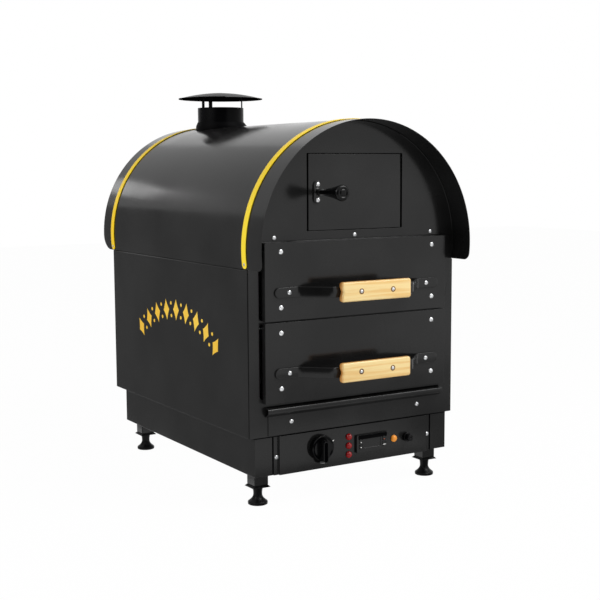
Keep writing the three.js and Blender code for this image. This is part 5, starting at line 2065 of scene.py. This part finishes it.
@dataclass
class SideOrnament:
    """A generic arched row of lozenges and dots printed on both sides.

    Attributes:
        panel_x: x of the side panels' faces, either way.
        middle_y: The middle of the row.
        foot_z: The height of the row's ends.
        chord: The distance between the outermost lozenges' middles.
        rise: The arch's height.
        lozenges: How many lozenges there are.
        height: A lozenge's height.
        width: A lozenge's width.
        power: The power of a lozenge's outline.
        dot: A dot's radius.
        dot_lift: How far over and under the arc the dots lie.
        wall: The print's thickness.
    """

    panel_x: float = 236.0
    middle_y: float = 304.0
    foot_z: float = 292.0
    chord: float = 344.0
    rise: float = 54.0
    lozenges: int = 9
    height: float = 44.0
    width: float = 27.0
    power: float = 0.86
    dot: float = 3.6
    dot_lift: float = 13.0
    wall: float = 0.2

    def plates(self) -> Surface:
        """Works out the row on its arc.

        The arc through both ends has the radius (c^2 / 4 + f^2) / 2f. A lozenge is |x / a|^p + |y / b|^p = 1
        with p under 1, which hollows its sides. Two dots lie between each two lozenges.

        Returns:
            The thin closed plates in the panel's own plane.
        """
        radius = (self.chord**2 / 4 + self.rise**2) / (2 * self.rise)
        limit = math.asin(self.chord / 2 / radius)
        around = np.linspace(0, 2 * np.pi, 48, endpoint=False)
        curve = np.stack([np.cos(around), np.sin(around)], 1)
        shape = np.sign(curve) * np.abs(curve) ** (2 / self.power) * [self.width / 2, self.height / 2]
        lozenge = stacked(shape, square(self.wall))
        lifts = (-self.dot_lift, self.dot_lift)
        dots = [stacked(curve * self.dot + [0.0, lift], square(self.wall)) for lift in lifts]
        gaps = np.linspace(-limit, limit, 2 * self.lozenges - 1)[1::2]
        row = [self.on_arc(lozenge, turn, radius) for turn in np.linspace(-limit, limit, self.lozenges)]
        return together(row + [self.on_arc(dot, turn, radius) for turn in gaps for dot in dots])

    def on_arc(self, plate: Surface, turn: float, radius: float) -> Surface:
        """Turns and moves one plate to its place on the arc.

        Args:
            plate: The plate about its own middle.
            turn: The angle from the arc's top.
            radius: The arc's radius.

        Returns:
            The plate on the arc.
        """
        centre = np.array([radius * math.sin(turn), radius * (math.cos(turn) - 1) + self.rise, 0.0])
        return Surface(plate.points @ spin(-turn) + centre, plate.faces)

    def build(self) -> None:
        """Prints the row on both sides."""
        for side, facing in ((-1, Facing.LEFT), (1, Facing.RIGHT)):
            row = self.plates().placed((side * self.panel_x, self.middle_y, self.foot_z), facing)
            piece(f"side_ornament_{facing.name.lower()}", row, PRINT)


# Studio


@dataclass(frozen=True)
class Lamp:
    """A soft lamp that the camera doesn't see.

    Attributes:
        name: The lamp's name.
        place: Where it stands.
        aim: What it points at.
        size: Its width and height in metres.
        power: Its power in watts.
    """

    name: str
    place: Point
    aim: Point
    size: Pair
    power: float

    def build(self) -> None:
        """Sets the lamp up."""
        data = bpy.data.lights.new(self.name, "AREA")
        data.shape = "RECTANGLE"
        data.size, data.size_y = self.size
        data.energy = self.power
        obj = stood(self.name, data)
        place, aim = Vector(metres(self.place)), Vector(metres(self.aim))
        obj.location = place
        obj.rotation_euler = (aim - place).to_track_quat("-Z", "Y").to_euler()
        obj.visible_camera = False


@dataclass(frozen=True)
class Card:
    """A grey card that only reflections see.

    Attributes:
        name: The card's name.
        corners: Its corners in turn.
        tone: Its brightness, where 1 is white.
    """

    name: str
    corners: tuple[Point, ...]
    tone: float

    def build(self) -> None:
        """Sets the card up."""
        mesh = bpy.data.meshes.new(self.name)
        mesh.from_pydata(metres(self.corners).tolist(), [], [(0, 1, 2, 3)])
        material = bpy.data.materials.new(self.name)
        material.use_nodes = True
        material.node_tree.nodes.clear()
        graph = Graph(material.node_tree)
        glow = graph.add("ShaderNodeEmission", Color=WHITE, Strength=self.tone)
        end = graph.add("ShaderNodeOutputMaterial")
        graph.wire(glow.outputs[0], end.inputs["Surface"])
        mesh.materials.append(material)
        obj = stood(self.name, mesh)
        obj.visible_camera = obj.visible_diffuse = obj.visible_shadow = obj.visible_transmission = False


def standing(start: Pair, end: Pair, low: float, high: float) -> tuple[Point, ...]:
    """The corners of an upright card between two points of the floor plan and two heights."""
    return (*start, low), (*end, low), (*end, high), (*start, high)


def lying(left: float, right: float, front: float, rear: float, height: float) -> tuple[Point, ...]:
    """The corners of a level card."""
    return (left, front, height), (right, front, height), (right, rear, height), (left, rear, height)


@dataclass
class Studio:
    """The camera at the photograph's angle, the pale floor, the world, the lamps and the cards.

    Attributes:
        azimuth: The camera's direction about z in degrees.
        elevation: Its height above the horizon in degrees.
        roll: Its roll in degrees.
        aim: What it looks at.
        distance: How far away it is.
        focal: The focal length in the photograph's pixels.
        frame_width: The photograph's width in pixels.
        sensor: The sensor's width in millimetres.
        shift: The view's shift as shares of the width.
        floor_size: The floor's size in metres.
        ambient: The world's strength for diffuse light.
        bounce: The floor's own share for diffuse light.
        paper: The same share for what the camera and reflections see.
        paint: The floor's colour.
        clip: The nearest and farthest that the camera sees, in metres.
    """

    azimuth: float = -31.588
    elevation: float = 6.921
    roll: float = -0.293
    aim: Point = (10.58, 225.0, 345.08)
    distance: float = 2430.0
    focal: float = 1159.65
    frame_width: float = 600.0
    sensor: float = 36.0
    shift: Pair = (0.0015, 0.0101)
    floor_size: float = 14.0
    ambient: float = 0.3
    bounce: float = 0.9
    paper: float = 0.98
    paint: Colour = (0.92, 0.92, 0.92, 1.0)
    clip: Pair = (0.05, 60.0)

    def camera(self) -> None:
        """Sets the camera up from its turned axes."""
        az, el, roll = (math.radians(v) for v in (self.azimuth, self.elevation, self.roll))
        back = Vector((math.sin(az) * math.cos(el), -math.cos(az) * math.cos(el), math.sin(el)))
        right = Vector((math.cos(az), math.sin(az), 0.0))
        up = back.cross(right)
        turned_right = math.cos(roll) * right + math.sin(roll) * up
        turned_up = -math.sin(roll) * right + math.cos(roll) * up
        data = bpy.data.cameras.new("photo_camera")
        data.lens = self.focal / self.frame_width * self.sensor
        data.sensor_width = self.sensor
        data.shift_x, data.shift_y = self.shift
        data.clip_start, data.clip_end = self.clip
        obj = stood("photo_camera", data)
        place = Vector(metres(self.aim)) + back * self.distance * METRE
        turn = Matrix((turned_right, turned_up, back)).transposed().to_4x4()
        obj.matrix_world = Matrix.Translation(place) @ turn
        bpy.context.scene.camera = obj

    def floor(self) -> None:
        """Lays a pale floor that shows nearly white and keeps the oven's shadow."""
        half = self.floor_size / 2
        corners = [(-half, -half, 0.0), (half, -half, 0.0), (half, half, 0.0), (-half, half, 0.0)]
        mesh = bpy.data.meshes.new("floor")
        mesh.from_pydata(corners, [], [(0, 1, 2, 3)])
        material = bpy.data.materials.new("pale_floor")
        material.use_nodes = True
        material.node_tree.nodes.clear()
        graph = Graph(material.node_tree)
        matt = graph.add("ShaderNodeBsdfDiffuse", Color=self.paint)
        glow = graph.add("ShaderNodeEmission", Color=WHITE, Strength=1.0)
        share = graph.add("ShaderNodeMapRange", To_Min=self.bounce, To_Max=self.paper)
        mix = graph.add("ShaderNodeMixShader")
        end = graph.add("ShaderNodeOutputMaterial")
        graph.wire(self.seen(graph), share.inputs["Value"])
        graph.wire(share.outputs["Result"], mix.inputs[0])
        graph.wire(matt.outputs[0], mix.inputs[1])
        graph.wire(glow.outputs[0], mix.inputs[2])
        graph.wire(mix.outputs[0], end.inputs["Surface"])
        mesh.materials.append(material)
        obj = stood("floor", mesh)

    def seen(self, graph: Graph) -> Socket:
        """Adds a value of 1 for camera, glossy and transmission rays and 0 for the rest.

        Args:
            graph: The graph that needs the value.

        Returns:
            The value.
        """
        path = graph.add("ShaderNodeLightPath")
        glossy = graph.add("ShaderNodeMath", operation="MAXIMUM")
        every = graph.add("ShaderNodeMath", operation="MAXIMUM")
        graph.wire(path.outputs["Is Camera Ray"], glossy.inputs[0])
        graph.wire(path.outputs["Is Glossy Ray"], glossy.inputs[1])
        graph.wire(glossy.outputs[0], every.inputs[0])
        graph.wire(path.outputs["Is Transmission Ray"], every.inputs[1])
        return every.outputs[0]

    def world(self) -> None:
        """Makes a white world that lights the oven at a plain level."""
        world = bpy.data.worlds.new("studio_world")
        world.use_nodes = True
        world.node_tree.nodes.clear()
        graph = Graph(world.node_tree)
        plain = graph.add("ShaderNodeBackground", Color=WHITE, Strength=self.ambient)
        white = graph.add("ShaderNodeBackground", Color=WHITE, Strength=1.0)
        mix = graph.add("ShaderNodeMixShader")
        end = graph.add("ShaderNodeOutputWorld")
        graph.wire(self.seen(graph), mix.inputs[0])
        graph.wire(plain.outputs[0], mix.inputs[1])
        graph.wire(white.outputs[0], mix.inputs[2])
        graph.wire(mix.outputs[0], end.inputs["Surface"])
        bpy.context.scene.world = world

    def build(self) -> None:
        """Builds the studio."""
        self.camera()
        self.floor()
        self.world()
        for lamp in (
            Lamp("high_soft_box", (900.0, -1000.0, 1900.0), (0.0, 200.0, 400.0), (1.4, 1.0), 34.0),
            Lamp("left_soft_box", (-2200.0, 300.0, 1500.0), (0.0, 300.0, 400.0), (1.4, 0.8), 20.0),
            Lamp("roof_streak", (-530.0, 1700.0, 950.0), (-215.0, 520.0, 590.0), (0.22, 0.16), 0.22),
        ):
            lamp.build()
        for card in (
            Card("left_near_card", standing((-750.0, 0.0), (-750.0, 1050.0), 0.0, 800.0), 0.29),
            Card("left_card", standing((-750.0, 1050.0), (-750.0, 3500.0), 0.0, 800.0), 0.23),
            Card("left_floor_card", lying(-3000.0, -300.0, 80.0, 3500.0, 2.0), 0.22),
            Card("rear_card", standing((-3500.0, 3000.0), (350.0, 3000.0), 900.0, 3200.0), 0.63),
            Card("dark_card", standing((-3600.0, -1600.0), (150.0, -3400.0), 0.0, 1700.0), 0.02),
            Card("dark_floor_card", lying(-4200.0, -1300.0, -3200.0, -650.0, 2.5), 0.02),
            Card("front_floor_card", lying(0.0, 1700.0, -1150.0, -560.0, 2.0), 0.55),
            Card("right_floor_card", lying(380.0, 1300.0, -560.0, -230.0, 2.0), 0.33),
            Card("near_floor_card", lying(-260.0, 900.0, -230.0, 20.0, 2.0), 0.33),
        ):
            card.build()
        bpy.context.scene.view_settings.view_transform = "Standard"


def main() -> None:
    """Builds the oven in order and reports each piece."""
    logging.basicConfig(level=logging.INFO, format="%(name)s: %(message)s", stream=sys.stdout)
    Studio().build()
    for part in (
        Cabinet(),
        Roof(),
        Chimney(),
        Drawer("lower", 255.22, (331.0, 227.0)),
        Drawer("upper", 405.72, (481.0, 378.0)),
        ChamberDoor(),
        Plinth(),
        ControlPanel(),
        Interior(),
        SideOrnament(),
    ):
        log.info("building %s", type(part).__name__)
        part.build()


if __name__ == "__main__":
    main()
